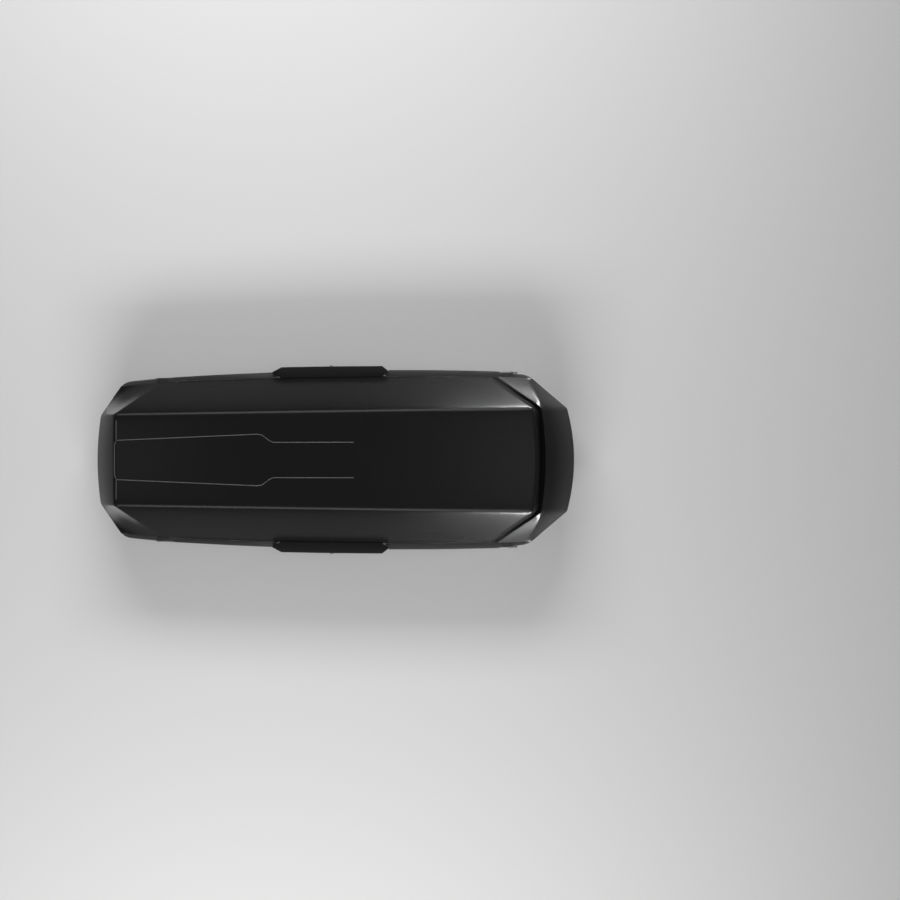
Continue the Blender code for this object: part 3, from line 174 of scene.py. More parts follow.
def buildGrain():
    # moulded grain: small cells broken up by noise, as a height and as a value round 0.5
    g = grainShape
    group, given, out = newGroup(
        "mouldedGrain", [("Scale", "NodeSocketFloat", g["scale"]), ("Break", "NodeSocketFloat", g["breakUp"])],
        [("Height", "NodeSocketFloat"), ("Mottle", "NodeSocketFloat")])
    place = group.nodes.new("ShaderNodeTexCoord")
    cells = addNode(group, "ShaderNodeTexVoronoi", feature="SMOOTH_F1")
    breakUp = addNode(group, "ShaderNodeTexNoise", Detail=g["breakDetail"])
    mottle = addNode(group, "ShaderNodeTexNoise", Scale=g["mottleScale"], Detail=g["mottleDetail"])
    for texture in (cells, breakUp, mottle):
        group.links.new(place.outputs["Object"], texture.inputs["Vector"])
    group.links.new(given.outputs["Scale"], cells.inputs["Scale"])
    group.links.new(mathNode(group, "MULTIPLY", given.outputs["Scale"], g["breakScale"]), breakUp.inputs["Scale"])
    broken = mathNode(group, "MULTIPLY", breakUp.outputs["Fac"], given.outputs["Break"])
    group.links.new(mathNode(group, "ADD", cells.outputs["Distance"], broken), out.inputs["Height"])
    group.links.new(mottle.outputs["Fac"], out.inputs["Mottle"])
    return group


dustShape = dict(amount=0.1, patch=3.0, detail=6.0, roughness=0.6, start=0.42, gain=3.0)


def buildDust():
    # thin dust that gathers on faces that look up, in soft patches
    d = dustShape
    group, given, out = newGroup(
        "settledDust", [("Amount", "NodeSocketFloat", d["amount"]), ("Patch", "NodeSocketFloat", d["patch"])],
        [("Mask", "NodeSocketFloat")])
    place = group.nodes.new("ShaderNodeTexCoord")
    patches = addNode(group, "ShaderNodeTexNoise", Detail=d["detail"], Roughness=d["roughness"])
    group.links.new(place.outputs["Object"], patches.inputs["Vector"])
    group.links.new(given.outputs["Patch"], patches.inputs["Scale"])
    split = group.nodes.new("ShaderNodeSeparateXYZ")
    group.links.new(place.outputs["Normal"], split.inputs[0])
    up = mathNode(group, "MAXIMUM", split.outputs["Z"], 0.0)
    above = mathNode(group, "SUBTRACT", patches.outputs["Fac"], d["start"])
    spread = mathNode(group, "MULTIPLY", above, d["gain"], True)
    settled = mathNode(group, "MULTIPLY", up, spread)
    group.links.new(mathNode(group, "MULTIPLY", settled, given.outputs["Amount"]), out.inputs["Mask"])
    return group


scuffShape = dict(scale=40.0, amount=0.3, stretch=(0.25, 3.0, 3.0), turn=0.35, detail=5.0, roughness=0.7, start=0.62,
                  gain=6.0)


def buildScuff():
    # scattered short scratches: stretched noise cut to its thin peaks
    c = scuffShape
    group, given, out = newGroup(
        "fineScuff", [("Scale", "NodeSocketFloat", c["scale"]), ("Amount", "NodeSocketFloat", c["amount"])],
        [("Mask", "NodeSocketFloat")])
    place = group.nodes.new("ShaderNodeTexCoord")
    stretch = addNode(group, "ShaderNodeMapping")
    stretch.inputs["Scale"].default_value = c["stretch"]
    stretch.inputs["Rotation"].default_value = (0.0, 0.0, c["turn"])
    lines = addNode(group, "ShaderNodeTexNoise", Detail=c["detail"], Roughness=c["roughness"])
    group.links.new(place.outputs["Object"], stretch.inputs["Vector"])
    group.links.new(stretch.outputs["Vector"], lines.inputs["Vector"])
    group.links.new(given.outputs["Scale"], lines.inputs["Scale"])
    above = mathNode(group, "SUBTRACT", lines.outputs["Fac"], c["start"])
    peaks = mathNode(group, "MULTIPLY", above, c["gain"], True)
    group.links.new(mathNode(group, "MULTIPLY", peaks, given.outputs["Amount"]), out.inputs["Mask"])
    return group


effects = dict(grain=buildGrain(), dust=buildDust(), scuff=buildScuff())
# grain depth, dust and scuffs, and the near-black painted shade of the furrow
wearAndShade = dict(grainDepth=0.0004, dustColour=(0.20, 0.19, 0.18), dustRough=0.5, scuffRough=0.35,
            furrowShadeColour=(0.0004, 0.0004, 0.0004), furrowRough=0.45)


def layOver(tree, below, colour, mask):
    # a plain colour over another one, as far as the mask says
    over = addNode(tree, "ShaderNodeMix", data_type="RGBA")
    over.inputs["B"].default_value = (*colour, 1.0)
    tree.links.new(mask, over.inputs["Factor"])
    tree.links.new(below, over.inputs["A"])
    return over.outputs["Result"]


def rougher(tree, rough, mask, amount):
    return mathNode(tree, "ADD", rough, mathNode(tree, "MULTIPLY", mask, amount))


def finish(name, colour, roughness, metallic=0.0, grain=400.0, bump=0.1, dust=0.0, scuff=0.0, mottle=0.25,
           roughSpread=0.12, specular=0.5, furrow=False):
    # one surface finish: mottled colour, grain for bump and roughness, then dust, scuffs and the furrow's band of
    # painted shade
    material = bpy.data.materials.new(name)
    material.use_nodes = True
    tree = material.node_tree
    shader = tree.nodes["Principled BSDF"]
    shader.inputs["Metallic"].default_value = metallic
    shader.inputs["Specular IOR Level"].default_value = specular
    material.diffuse_color = (*colour, 1.0)

    grainNode = addNode(tree, "ShaderNodeGroup", node_tree=effects["grain"])
    grainNode.inputs["Scale"].default_value = grain
    shade = addNode(tree, "ShaderNodeMix", data_type="RGBA")
    shade.inputs["A"].default_value = (*[c * (1 - mottle) for c in colour], 1.0)
    shade.inputs["B"].default_value = (*[c * (1 + mottle) for c in colour], 1.0)
    tree.links.new(grainNode.outputs["Mottle"], shade.inputs["Factor"])
    colourOut = shade.outputs["Result"]
    centred = mathNode(tree, "SUBTRACT", grainNode.outputs["Mottle"], 0.5)
    roughOut = mathNode(tree, "ADD", mathNode(tree, "MULTIPLY", centred, roughSpread), roughness)
    if dust:
        dustNode = addNode(tree, "ShaderNodeGroup", node_tree=effects["dust"])
        dustNode.inputs["Amount"].default_value = dust
        colourOut = layOver(tree, colourOut, wearAndShade["dustColour"], dustNode.outputs["Mask"])
        roughOut = rougher(tree, roughOut, dustNode.outputs["Mask"], wearAndShade["dustRough"])
    if scuff:
        scuffNode = addNode(tree, "ShaderNodeGroup", node_tree=effects["scuff"])
        scuffNode.inputs["Amount"].default_value = scuff
        roughOut = rougher(tree, roughOut, scuffNode.outputs["Mask"], wearAndShade["scuffRough"])
    # painted shade in the furrow: the colour goes near black there, and it is rougher too
    if furrow:
        band = addNode(tree, "ShaderNodeAttribute", attribute_name="furrow")
        colourOut = layOver(tree, colourOut, wearAndShade["furrowShadeColour"], band.outputs["Fac"])
        roughOut = rougher(tree, roughOut, band.outputs["Fac"], wearAndShade["furrowRough"])
    tree.links.new(colourOut, shader.inputs["Base Color"])
    tree.links.new(roughOut, shader.inputs["Roughness"])
    bumpNode = addNode(tree, "ShaderNodeBump", Strength=bump, Distance=wearAndShade["grainDepth"])
    tree.links.new(grainNode.outputs["Height"], bumpNode.inputs["Height"])
    tree.links.new(bumpNode.outputs["Normal"], shader.inputs["Normal"])
    return material


finishes = dict(
    lidGloss=finish("lidGloss", (0.0098, 0.0098, 0.0101), 0.26, grain=260.0, bump=0.010, scuff=0.05,
                    mottle=0.08, roughSpread=0.04, specular=0.10, furrow=True),
    # light grey of the raised lines: painted highlight on the black lid
    lineSatinHighlight=finish("lineSatinHighlight", (0.085, 0.085, 0.088), 0.45, grain=400.0, bump=0.05),
    baseGrain=finish("baseGrain", (0.036, 0.036, 0.037), 0.44, grain=650.0, bump=0.25, dust=0.03, scuff=0.15),
    gripMatte=finish("gripMatte", (0.0055, 0.0055, 0.0055), 0.62, grain=900.0, bump=0.30, scuff=0.2, specular=0.3),
    rubber=finish("rubber", (0.018, 0.018, 0.018), 0.80, grain=500.0, bump=0.2, dust=0.02),
    blackCoat=finish("blackCoat", (0.022, 0.022, 0.023), 0.42, metallic=0.2, grain=1200.0, bump=0.12, scuff=0.5),
    zincSteel=finish("zincSteel", (0.42, 0.42, 0.44), 0.34, metallic=1.0, grain=300.0, bump=0.05, scuff=0.5),
    springSteel=finish("springSteel", (0.22, 0.22, 0.23), 0.28, metallic=1.0, grain=600.0, bump=0.04, scuff=0.3),
    alloy=finish("alloy", (0.50, 0.51, 0.52), 0.36, metallic=1.0, grain=200.0, bump=0.04, scuff=0.6),
    nylon=finish("nylon", (0.045, 0.045, 0.048), 0.50, grain=800.0, bump=0.22, scuff=0.2),
)
print("finishes made:", len(finishes))


# lid: plan of its edge, as in the solids, then the ridge, furrow and bulges; sets are measured from the ends
lidShape = dict(
    sideHalf=0.400, sideBow=0.024, widestX=0.25, lip=0.018, wall=0.004, ledgeDrop=0.0045,
    flare=0.0050, endFlare=0.001, tailBow=0.016, tailInnerY=0.212, tailOuterSet=0.115, tailOuterY=0.357,
    tailSideSet=0.313, noseStartY=0.402, noseOuterSet=0.208, noseOuterY=0.395, noseBow=0.034, noseInnerY=0.248,
    noseDrop=0.020,
    ridgeHeight=0.228, ridgeFall=0.020, ridgePeakX=0.15, crown=0.008, tailRidgeSet=0.113, tailRidgeY=0.216,
    grooveRearSet=0.416, grooveFrontSet=0.372, grooveRidgeSet=0.208, grooveRidgeY=0.245, grooveCentreSet=0.187,
    grooveWidth=0.041, grooveDepth=0.020, grooveLipDepth=0.004, grooveRear=0.52, grooveFront=0.70,
    furrowSoft=0.008, furrowSharp=0.003,
    bodyBulge=0.012, cornerSwell=0.020, frontBulge=0.004, flattening=(0.52, 0.75),
    facetBulge=0.004, foldBulge=0.012, turnBulge=0.028, noseBulge=0.022,
    stations=16, tailColumns=4, cornerSteps=3, easing=0.020, easingSteps=3, levels=2, sharp=60)
# share of the easing on each crease; along the furrow it grows from the lip in a few steps
lidCrease = dict(ridge=0.9, tailTop=0.6, tailSide=0.5, sideEnd=0.35, rearRim=0.7, rearFoot=0.2, frontFoot=0.15,
                 frontRim=0.2, noseRidge=0.7, edge=0.1, ledge=0.08, upright=0.5, lipShare=0.15, lipSteps=4)
lidLow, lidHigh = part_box("lid_shell")
tailX, noseX, lidZ = lidLow.x, lidHigh.x, lidLow.z


def sideEdge(x):
    return lidShape["sideHalf"] - lidShape["sideBow"] * (np.asarray(x) - lidShape["widestX"]) ** 2


def ridgeZ(x):
    return lidZ + lidShape["ridgeHeight"] - lidShape["ridgeFall"] * (np.asarray(x) - lidShape["ridgePeakX"]) ** 2


def ridgeY(x):
    start, end = tailX + lidShape["tailRidgeSet"], noseX - lidShape["grooveRidgeSet"]
    share = (np.asarray(x) - start) / (end - start)
    return lidShape["tailRidgeY"] + (lidShape["grooveRidgeY"] - lidShape["tailRidgeY"]) * share


def straight(a, b, count):
    return np.linspace(a, b, count + 1)


def bowed(endX, corner, count):
    # shallow parabola from the centre line to a corner
    y = np.linspace(0.0, corner[1], count + 1)
    return np.stack([endX + (corner[0] - endX) * (y / corner[1]) ** 2, y], axis=1)


def halfPlan(tail, tailInner, tailOuter, side, noseStart, noseOuter, noseInner, nose, counts):
    # left half of a plan outline from tail centre to nose tip: bow, two facets, side curve, two facets, bow
    sides, ends, corners = counts
    sideX = np.linspace(tailX + lidShape["tailSideSet"], noseX - lidShape["grooveRearSet"], sides + 1)
    sidePath = np.stack([sideX, side(sideX)], axis=1)
    return np.concatenate([
        bowed(tail, tailInner, ends), straight(tailInner, tailOuter, corners)[1:],
        straight(tailOuter, sidePath[0], corners)[1:], sidePath[1:], noseStart,
        straight(noseStart[-1], noseOuter, corners)[1:], straight(noseOuter, noseInner, corners)[1:],
        bowed(nose, noseInner, ends)[-2::-1]])


def lidPlan(grooveDepth, counts):
    s = lidShape
    rear, front = noseX - s["grooveRearSet"], noseX - s["grooveFrontSet"]
    ends = np.array([[rear, float(sideEdge(rear))], [front, s["noseStartY"]]])
    shares = np.array([s["grooveRear"], s["grooveFront"]])[:, None]
    groove = ends[0] * (1 - shares) + ends[1] * shares - np.array([0.0, grooveDepth])
    return halfPlan(tailX, (tailX + s["tailBow"], s["tailInnerY"]), (tailX + s["tailOuterSet"], s["tailOuterY"]),
                    sideEdge, np.concatenate([groove, ends[1:]]), (noseX - s["noseOuterSet"], s["noseOuterY"]),
                    (noseX - s["noseBow"], s["noseInnerY"]), noseX, counts)


def movedOut(plan, distance):
    # every point of a half outline moved square to it, outwards for a positive distance
    mirror = np.array([1.0, -1.0])
    padded = np.concatenate([plan[1:2] * mirror, plan, plan[-2:-1] * mirror])
    way = padded[2:] - padded[:-2]
    way /= np.linalg.norm(way, axis=1, keepdims=True)
    return plan + np.stack([-way[:, 1], way[:, 0]], axis=1) * np.reshape(distance, (-1, 1))


def atHeight(plan, z):
    return np.column_stack([plan, np.full(len(plan), z)])


def swell(top, bottom, bulge):
    # ruled surface from one row of points to another, lifted by a parabola in between;
    # it has a row for each step of a corner, so that neighbours share their points
    s = np.linspace(0.0, 1.0, lidShape["cornerSteps"] + 1)[:, None, None]
    lift = np.reshape(bulge, (1, -1, 1)) * np.array([0.0, 0.0, 4.0]) * s * (1 - s)
    return top[None] * (1 - s) + bottom[None] * s + lift


def fourSided(left, right, near, far):
    # blend of four edge curves: the two ruled surfaces between opposite curves, less the one through the corners
    s, t = np.meshgrid(np.linspace(0.0, 1.0, len(left)), np.linspace(0.0, 1.0, len(near)), indexing="ij")
    s, t = s[..., None], t[..., None]
    corners = (near[0] * (1 - t) + near[-1] * t) * (1 - s) + (far[0] * (1 - t) + far[-1] * t) * s
    return left[:, None] * (1 - t) + right[:, None] * t + near[None] * (1 - s) + far[None] * s - corners


def topRow(ridgeX, centreX, halfY, height, crown, columns):
    # parabola across the top, from the centre line to the ridge
    t = np.linspace(0.0, 1.0, columns + 1)
    return np.stack([centreX + (ridgeX - centreX) * t ** 2, halfY * t, height + crown * (1 - t ** 2)], axis=1)


def lidPatches():
    # patches of the left half, each a grid: top, side, tail, tail corner, furrow, nose corner, nose, lip
    s = lidShape
    n, ends, corners = counts = s["stations"], s["tailColumns"], s["cornerSteps"]
    plan = lidPlan(s["grooveLipDepth"], counts)
    sideFirst = ends + 2 * corners
    sideLast = sideFirst + n
    noseFirst = sideLast + 3
    noseCorner = noseFirst + 2 * corners
    flare = np.full(len(plan), s["endFlare"])
    flare[sideFirst + 1:sideLast] = s["flare"]
    edge = atHeight(movedOut(plan, -flare), lidZ + s["lip"])
    startX, endX = tailX + s["tailRidgeSet"], noseX - s["grooveRidgeSet"]
    ridgeX = np.linspace(startX, endX, n + 1)
    centreX = np.linspace(startX, noseX - s["grooveCentreSet"], n + 1)
    top = np.stack([topRow(r, c, float(ridgeY(r)), float(ridgeZ(r)), s["crown"], ends)
                    for r, c in zip(ridgeX, centreX)])
    sideBulge = np.interp(ridgeX, s["flattening"], (s["bodyBulge"], s["frontBulge"]))
    side = swell(top[:, -1], edge[sideFirst:sideLast + 1], sideBulge)
    tail = swell(top[0], edge[:ends + 1], s["bodyBulge"])
    tailEdge = edge[ends:sideFirst + 1]
    tailCorner = fourSided(tail[:, -1], tailEdge[corners:][::-1], side[:, 0], tailEdge[:corners + 1])
    # swell towards the outer corner: grows with the square of the way out, ends at the edge and peaks at one
    out = np.linspace(0.0, 1.0, corners + 1)
    out = out ** 2 * (1 - out) * 27 / 4
    tailCorner[..., 2] += s["cornerSwell"] * out[:, None] * out[None]
    noseRidgeX = endX + s["grooveWidth"]
    noseTop = topRow(noseRidgeX, noseX - s["grooveCentreSet"] + s["grooveWidth"], float(ridgeY(noseRidgeX)),
                     float(ridgeZ(noseRidgeX)) - s["noseDrop"], s["crown"], ends)
    noseEdge = edge[noseFirst:noseCorner + 1]
    # flat beside the furrow, then turning round to the nose in one sweep
    noseSideBulge = np.interp(np.arange(len(noseEdge)), (0, corners, 1.5 * corners, 2 * corners),
                              (s["facetBulge"], s["foldBulge"], s["turnBulge"], s["noseBulge"]))
    noseSide = swell(np.repeat(noseTop[-1:], len(noseEdge), axis=0), noseEdge, noseSideBulge)
    nose = swell(noseTop, edge[noseCorner:][::-1], s["noseBulge"])

    # furrow: down from the body's end, along a flat bottom and up to the nose, shallow at the lip
    rearRim = np.concatenate([side[::-1, -1], top[-1, -2::-1]])
    frontRim = np.concatenate([noseSide[::-1, 0], noseTop[-2::-1]])
    k = np.arange(len(rearRim))
    over = np.minimum(k / corners, 1.0)[:, None]
    depth = s["grooveLipDepth"] + (s["grooveDepth"] - s["grooveLipDepth"]) * over
    way = np.concatenate([np.zeros_like(over), over - 1, -over], axis=1)
    way /= np.linalg.norm(way, axis=1, keepdims=True)
    bottoms = [rearRim * (1 - share) + frontRim * share + way * depth
               for share in (s["grooveRear"], s["grooveFront"])]
    bottoms[0][0], bottoms[1][0] = edge[noseFirst - 2], edge[noseFirst - 1]
    furrow = np.stack([rearRim, *bottoms, frontRim])
    ledge = atHeight(plan, lidZ + s["lip"] - s["ledgeDrop"])
    lip = np.stack([edge, ledge, atHeight(plan, lidZ)])

    c = lidCrease
    deep = np.minimum(c["lipShare"] + k[:-1] / c["lipSteps"], 1.0)
    creases = [
        (top[:, -1], c["ridge"]), (top[0], c["tailTop"]), (tail[:, -1], c["tailSide"]), (side[:, 0], c["sideEnd"]),
        (rearRim, c["rearRim"] * deep), (bottoms[0], c["rearFoot"] * deep), (bottoms[1], c["frontFoot"] * deep),
        (frontRim, c["frontRim"] * deep), (noseSide[:, -1], c["noseRidge"]), (edge, c["edge"]), (ledge, c["ledge"])]
    plumb = (ends, ends + corners, noseFirst + corners, noseCorner)
    uprights = [(lip[:, j], c["upright"]) for j in plumb]
    return [top, side, tail, tailCorner, furrow, noseSide, nose, lip], creases + uprights


def markCreases(mesh, creases):
    # bevel weights on the mesh edges that run along given rows of points
    points = np.empty(len(mesh.vertices) * 3)
    mesh.vertices.foreach_get("co", points)
    keys = {key: k for k, key in enumerate(map(tuple, np.round(points.reshape(-1, 3), 5).tolist()))}
    pairs = {}
    for row, weight in creases:
        ids = [keys.get(key) for key in map(tuple, np.round(row.astype(np.float32).astype(float), 5).tolist())]
        weights = np.broadcast_to(weight, len(ids) - 1).tolist()
        pairs.update({(min(a, b), max(a, b)): w for a, b, w in zip(ids, ids[1:], weights) if None not in (a, b)})
    ends = np.empty(len(mesh.edges) * 2, int)
    mesh.edges.foreach_get("vertices", ends)
    ends = np.sort(ends.reshape(-1, 2), axis=1)
    weights = np.array([pairs.get(pair, 0.0) for pair in map(tuple, ends.tolist())])
    layer = mesh.attributes.new("bevel_weight_edge", "FLOAT", "EDGE")
    layer.data.foreach_set("value", weights)
    return int((weights > 0).sum())


def sheetFromPatches(name, patches):
    # welded patches turned so that the broad faces look up
    points, faces, first = [], [], 0
    for patch in patches:
        rows, columns = patch.shape[:2]
        points.append(patch.reshape(-1, 3))
        faces.append(gridFaces(rows, columns, first))
        first += rows * columns
    sheet = makeObject(name, np.concatenate(points), np.concatenate(faces), recalc=True)
    normals = np.empty(len(sheet.data.polygons) * 3)
    areas = np.empty(len(sheet.data.polygons))
    sheet.data.polygons.foreach_get("normal", normals)
    sheet.data.polygons.foreach_get("area", areas)
    if (normals.reshape(-1, 3)[:, 2] * areas).sum() < 0:
        sheet.data.flip_normals()
    return sheet


def markFurrowShade(lid):
    # band of painted shade, near black and rougher, between the furrow's two rims in plan, soft on the body side and
    # sharp on the nose side
    s = lidShape
    points = np.empty(len(lid.data.vertices) * 3)
    lid.data.vertices.foreach_get("co", points)
    x, y = points[0::3], np.abs(points[1::3])
    sideY, ridgeHalf = float(sideEdge(noseX - s["grooveRearSet"])), s["grooveRidgeY"]
    ridgeX = noseX - s["grooveRidgeSet"]
    across = ridgeX + (s["grooveRidgeSet"] - s["grooveCentreSet"]) * (1 - (y / ridgeHalf) ** 2)
    rear = np.where(y < ridgeHalf, across, np.interp(y, (ridgeHalf, sideY), (ridgeX, noseX - s["grooveRearSet"])))
    front = rear + s["grooveWidth"]
    band = np.clip((x - rear) / s["furrowSoft"], 0, 1) * np.clip((front - x) / s["furrowSharp"], 0, 1)
    lid.data.attributes.new("furrow", "FLOAT", "POINT").data.foreach_set("value", band)


def buildLid():
    s = lidShape
    patches, creases = lidPatches()
    lid = sheetFromPatches("lid_surface", patches)
    print("lid creases marked:", markCreases(lid.data, creases))
    addMirror(lid)
    addModifier(lid, "BEVEL", width=s["easing"], segments=s["easingSteps"], limit_method="WEIGHT", profile=0.5,
                use_clamp_overlap=False)
    addModifier(lid, "SUBSURF", levels=s["levels"], render_levels=s["levels"])
    addModifier(lid, "SOLIDIFY", thickness=s["wall"], offset=-1.0, use_even_offset=True)
    bake(lid)
    smooth(lid, s["sharp"])
    # mask for the painted shade in the furrow
    markFurrowShade(lid)
    dress(lid, "lid", "lid_gloss", finishes["lidGloss"], "lid_shell")
    print("lid faces:", len(lid.data.polygons))


buildLid()

# raised lines on the top panel, real beads painted light grey as their edge highlight, as x and y of their corners
# on the left side
creaseLine = dict(width=0.0045, height=0.0011, sink=0.0012, step=0.012, shoulder=0.6, sharp=80,
                  side=[(-1.0245, 0.186), (-1.0237, 0.0925), (-0.357, 0.1213), (-0.335, 0.1180), (-0.297, 0.0900),
                        (-0.2785, 0.0830), (0.0985, 0.0836)],
                  tail=[(-1.0245, 0.0880), (-1.0315, 0.0715), (-1.0315, -0.0715), (-1.0245, -0.0880)])


def topZ(x, y):
    return ridgeZ(x) + lidShape["crown"] * (1 - (y / ridgeY(x)) ** 2)


def densePath(corners, step):
    # points at about equal steps along straight legs
    legs = [straight(a, b, max(int(math.dist(a, b) / step), 2)) for a, b in zip(corners, corners[1:])]
    return np.concatenate([legs[0]] + [leg[1:] for leg in legs[1:]])


def buildCreaseLine(name, corners):
    # low parabolic arch carried along the path and closed under the sheet
    c = creaseLine
    path = densePath(np.asarray(corners), c["step"])
    way = np.gradient(path, axis=0)
    way /= np.linalg.norm(way, axis=1, keepdims=True)
    square = np.stack([-way[:, 1], way[:, 0]], axis=1)
    t = np.array([-1.0, -c["shoulder"], 0.0, c["shoulder"], 1.0, 0.0])
    rise = np.concatenate([[-c["sink"]], c["height"] * (1 - t[1:4] ** 2), [-c["sink"], -2 * c["sink"]]])
    plan = path[:, None] + square[:, None] * (t * c["width"] / 2)[None, :, None]
    z = topZ(plan[..., 0], plan[..., 1]) + rise[None]
    points = np.concatenate([plan, z[..., None]], axis=2)
    count = len(path)
    faces = gridFaces(count, len(t), closed=True).tolist()
    faces += [list(range(len(t))), [(count - 1) * len(t) + k for k in range(len(t))]]
    line = makeObject(name, points, np.array(faces, dtype=object), recalc=True)
    smooth(line, c["sharp"])
    # painted highlight: the lines take a light grey, not the lid's black
    dress(line, "lid", "lid_gloss", finishes["lineSatinHighlight"])


buildCreaseLine("lid_left_line", creaseLine["side"])
buildCreaseLine("lid_right_line", [(x, -y) for x, y in creaseLine["side"]])
buildCreaseLine("lid_tail_line", creaseLine["tail"])
print("raised lines on the lid: 3")

# base wall with its flange, round in section
baseShape = dict(
    flangeHalf=0.4335, flangeBow=0.0286, flangeWidestX=0.33, flangeLip=0.018, flangeTailSet=0.126, flangeTailY=0.376,
    flangeNoseSet=0.222, flangeNoseY=0.412, tipSet=0.003, rimInset=0.020, edgeRound=0.0045, rimRound=0.006,
    depth=0.156, turn=2.25, wall=0.004, floorTailSet=0.220, floorNoseSet=0.390, floorCorner=0.090,
    floorSideInset=0.068, steps=(10, 3, 2), refine=(5, 3, 4), arcAngles=(0.0, 30.0, 60.0, 90.0),
    wallRows=13, wallSpread=1.3, flangeSmoothing=2, rimSmoothing=6, sharp=42)
baseLow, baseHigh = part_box("base_shell")
rimZ = baseHigh.z
baseCounts = tuple(a * b for a, b in zip(baseShape["steps"], baseShape["refine"]))


def flangeEdge(x):
    return baseShape["flangeHalf"] - baseShape["flangeBow"] * (np.asarray(x) - baseShape["flangeWidestX"]) ** 2


def flangePlan():
    b, s = baseShape, lidShape
    rear, front = noseX - s["grooveRearSet"], noseX - s["grooveFrontSet"]
    startX = rear + (front - rear) * np.array([s["grooveRear"], s["grooveFront"], 1.0])
    tip, tail = noseX - b["tipSet"], baseLow.x
    return halfPlan(tail, (tail + s["tailBow"], s["tailInnerY"]), (tail + b["flangeTailSet"], b["flangeTailY"]),
                    flangeEdge, np.stack([startX, flangeEdge(startX)], axis=1),
                    (noseX - b["flangeNoseSet"], b["flangeNoseY"]), (tip - s["noseBow"], s["noseInnerY"]), tip,
                    baseCounts)


def floorPlan(plan):
    # the outline drawn in to the floor's ends, sides and cut corners
    b = baseShape
    low, high = baseLow.x + b["floorTailSet"], noseX - b["floorNoseSet"]
    x = np.clip(plan[:, 0], low, high)
    corner = np.minimum(np.minimum(x - low, high - x), b["floorCorner"])
    side = sideEdge(x) - b["floorSideInset"] - b["floorCorner"] + corner
    return np.stack([x, np.minimum(plan[:, 1], side)], axis=1)


def refined(plan):
    # points added on the straight legs of a coarse outline, so that it stays the floor panel's own
    sides, ends, corners = baseShape["steps"]
    finer, endParts, cornerParts = baseShape["refine"]
    parts = [endParts] * ends + [cornerParts] * 2 * corners + [finer] * sides + [1] * 3
    parts += [cornerParts] * 2 * corners + [endParts] * ends
    t = np.concatenate([k + np.arange(count) / count for k, count in enumerate(parts)] + [[len(parts)]])
    return np.stack([np.interp(t, np.arange(len(plan)), plan[:, axis]) for axis in (0, 1)], axis=1)


def rounded(plan, times):
    # corners drawn round by averaging each point with its neighbours, ends held
    for _ in range(times):
        plan = np.concatenate([plan[:1], plan[:-2] * 0.25 + plan[1:-1] * 0.5 + plan[2:] * 0.25, plan[-1:]])
    return plan


def buildBase():
    b = baseShape
    flange = rounded(flangePlan(), b["flangeSmoothing"])
    rim = rounded(movedOut(lidPlan(0.0, baseCounts), -b["rimInset"]), b["rimSmoothing"])
    floor = refined(floorPlan(lidPlan(0.0, b["steps"])))
    rows = [atHeight(flange, rimZ - b["flangeLip"])]
    # quarter rounds: over the flange's edge, then down into the wall
    arc = np.radians(b["arcAngles"])
    edgeRound, rimRound = b["edgeRound"], b["rimRound"]
    rows += [atHeight(movedOut(flange, -edgeRound * (1 - math.cos(a))), rimZ - edgeRound * (1 - math.sin(a)))
             for a in arc]
    rows += [atHeight(movedOut(rim, rimRound * (1 - math.sin(a))), rimZ - rimRound * (1 - math.cos(a)))
             for a in arc[:-1]]
    # wall: plan share q from rim to floor, drop 1 - (1 - q) to a power, so it meets the floor level
    share = np.linspace(0.0, 1.0, b["wallRows"]) ** b["wallSpread"]
    drop = rimRound + (b["depth"] - rimRound) * (1 - (1 - share) ** b["turn"])
    rows += [atHeight(rim * (1 - q) + floor * q, rimZ - down) for q, down in zip(share, drop)]
    base = sheetFromPatches("base_wall", [np.stack(rows)])
    addMirror(base)
    addModifier(base, "SOLIDIFY", thickness=b["wall"], offset=-1.0, use_even_offset=True)
    cutters = [notchCutter(), sillCutter()]
    for cutter in cutters:
        addModifier(base, "BOOLEAN", operation="DIFFERENCE", solver="EXACT", object=cutter)
    bake(base)
    for cutter in cutters:
        bpy.data.objects.remove(cutter, do_unlink=True)
    smooth(base, b["sharp"])
    dress(base, "base", "base_satin", finishes["baseGrain"], "base_shell")
    print("base faces:", len(base.data.polygons))


# hinge lines run along the sides, skewed; u along the line, v outboard, w up
hingeShape = dict(slope=0.018, clearance=0.006, frontSet=0.325, rearSet=0.316, knuckle=0.006, knuckleRoom=0.0025,
                  sillStart=0.0539, sillEnd=-0.0368, sillSet=0.0045, sillReach=0.1, sillSteps=24,
                  notchHalf=0.0280, notchReach=0.050, notchSink=0.0004, plateRise=0.006, rivetRadius=0.0042,
                  rivetHeight=0.0016, rivetU=0.0175, rivetV=-0.013)
stationX = dict(front=noseX - hingeShape["frontSet"], rear=baseLow.x + hingeShape["rearSet"])


def hingeY(x):
    h = hingeShape
    touch = lidShape["widestX"] - h["slope"] / (2 * lidShape["sideBow"])
    return float(sideEdge(touch)) + h["clearance"] + h["slope"] * (x - touch)


def hingePlace(u, v, w, x, side):
    # points given along, out from and above a hinge line, put beside the box
    angle = math.atan(hingeShape["slope"])
    u, v, w = np.broadcast_arrays(u, v, w)
    return np.stack([x + u * math.cos(angle) - v * math.sin(angle),
                     side * (hingeY(x) + u * math.sin(angle) + v * math.cos(angle)),
                     rimZ - hingeShape["knuckle"] + w], axis=-1)


def prismFaces(count, first=0):
    caps = [[first + k for k in range(count)], [first + count + k for k in range(count)]]
    return caps + gridFaces(2, count, first, closed=True).tolist()


def makePrisms(name, pairs):
    # closed prisms, each between two like rings of points
    points, faces, first = [], [], 0
    for pair in pairs:
        points.append(np.asarray(pair).reshape(-1, 3))
        faces += prismFaces(len(pair[0]), first)
        first += 2 * len(pair[0])
    return makeObject(name, np.concatenate(points), np.array(faces, dtype=object), recalc=True)


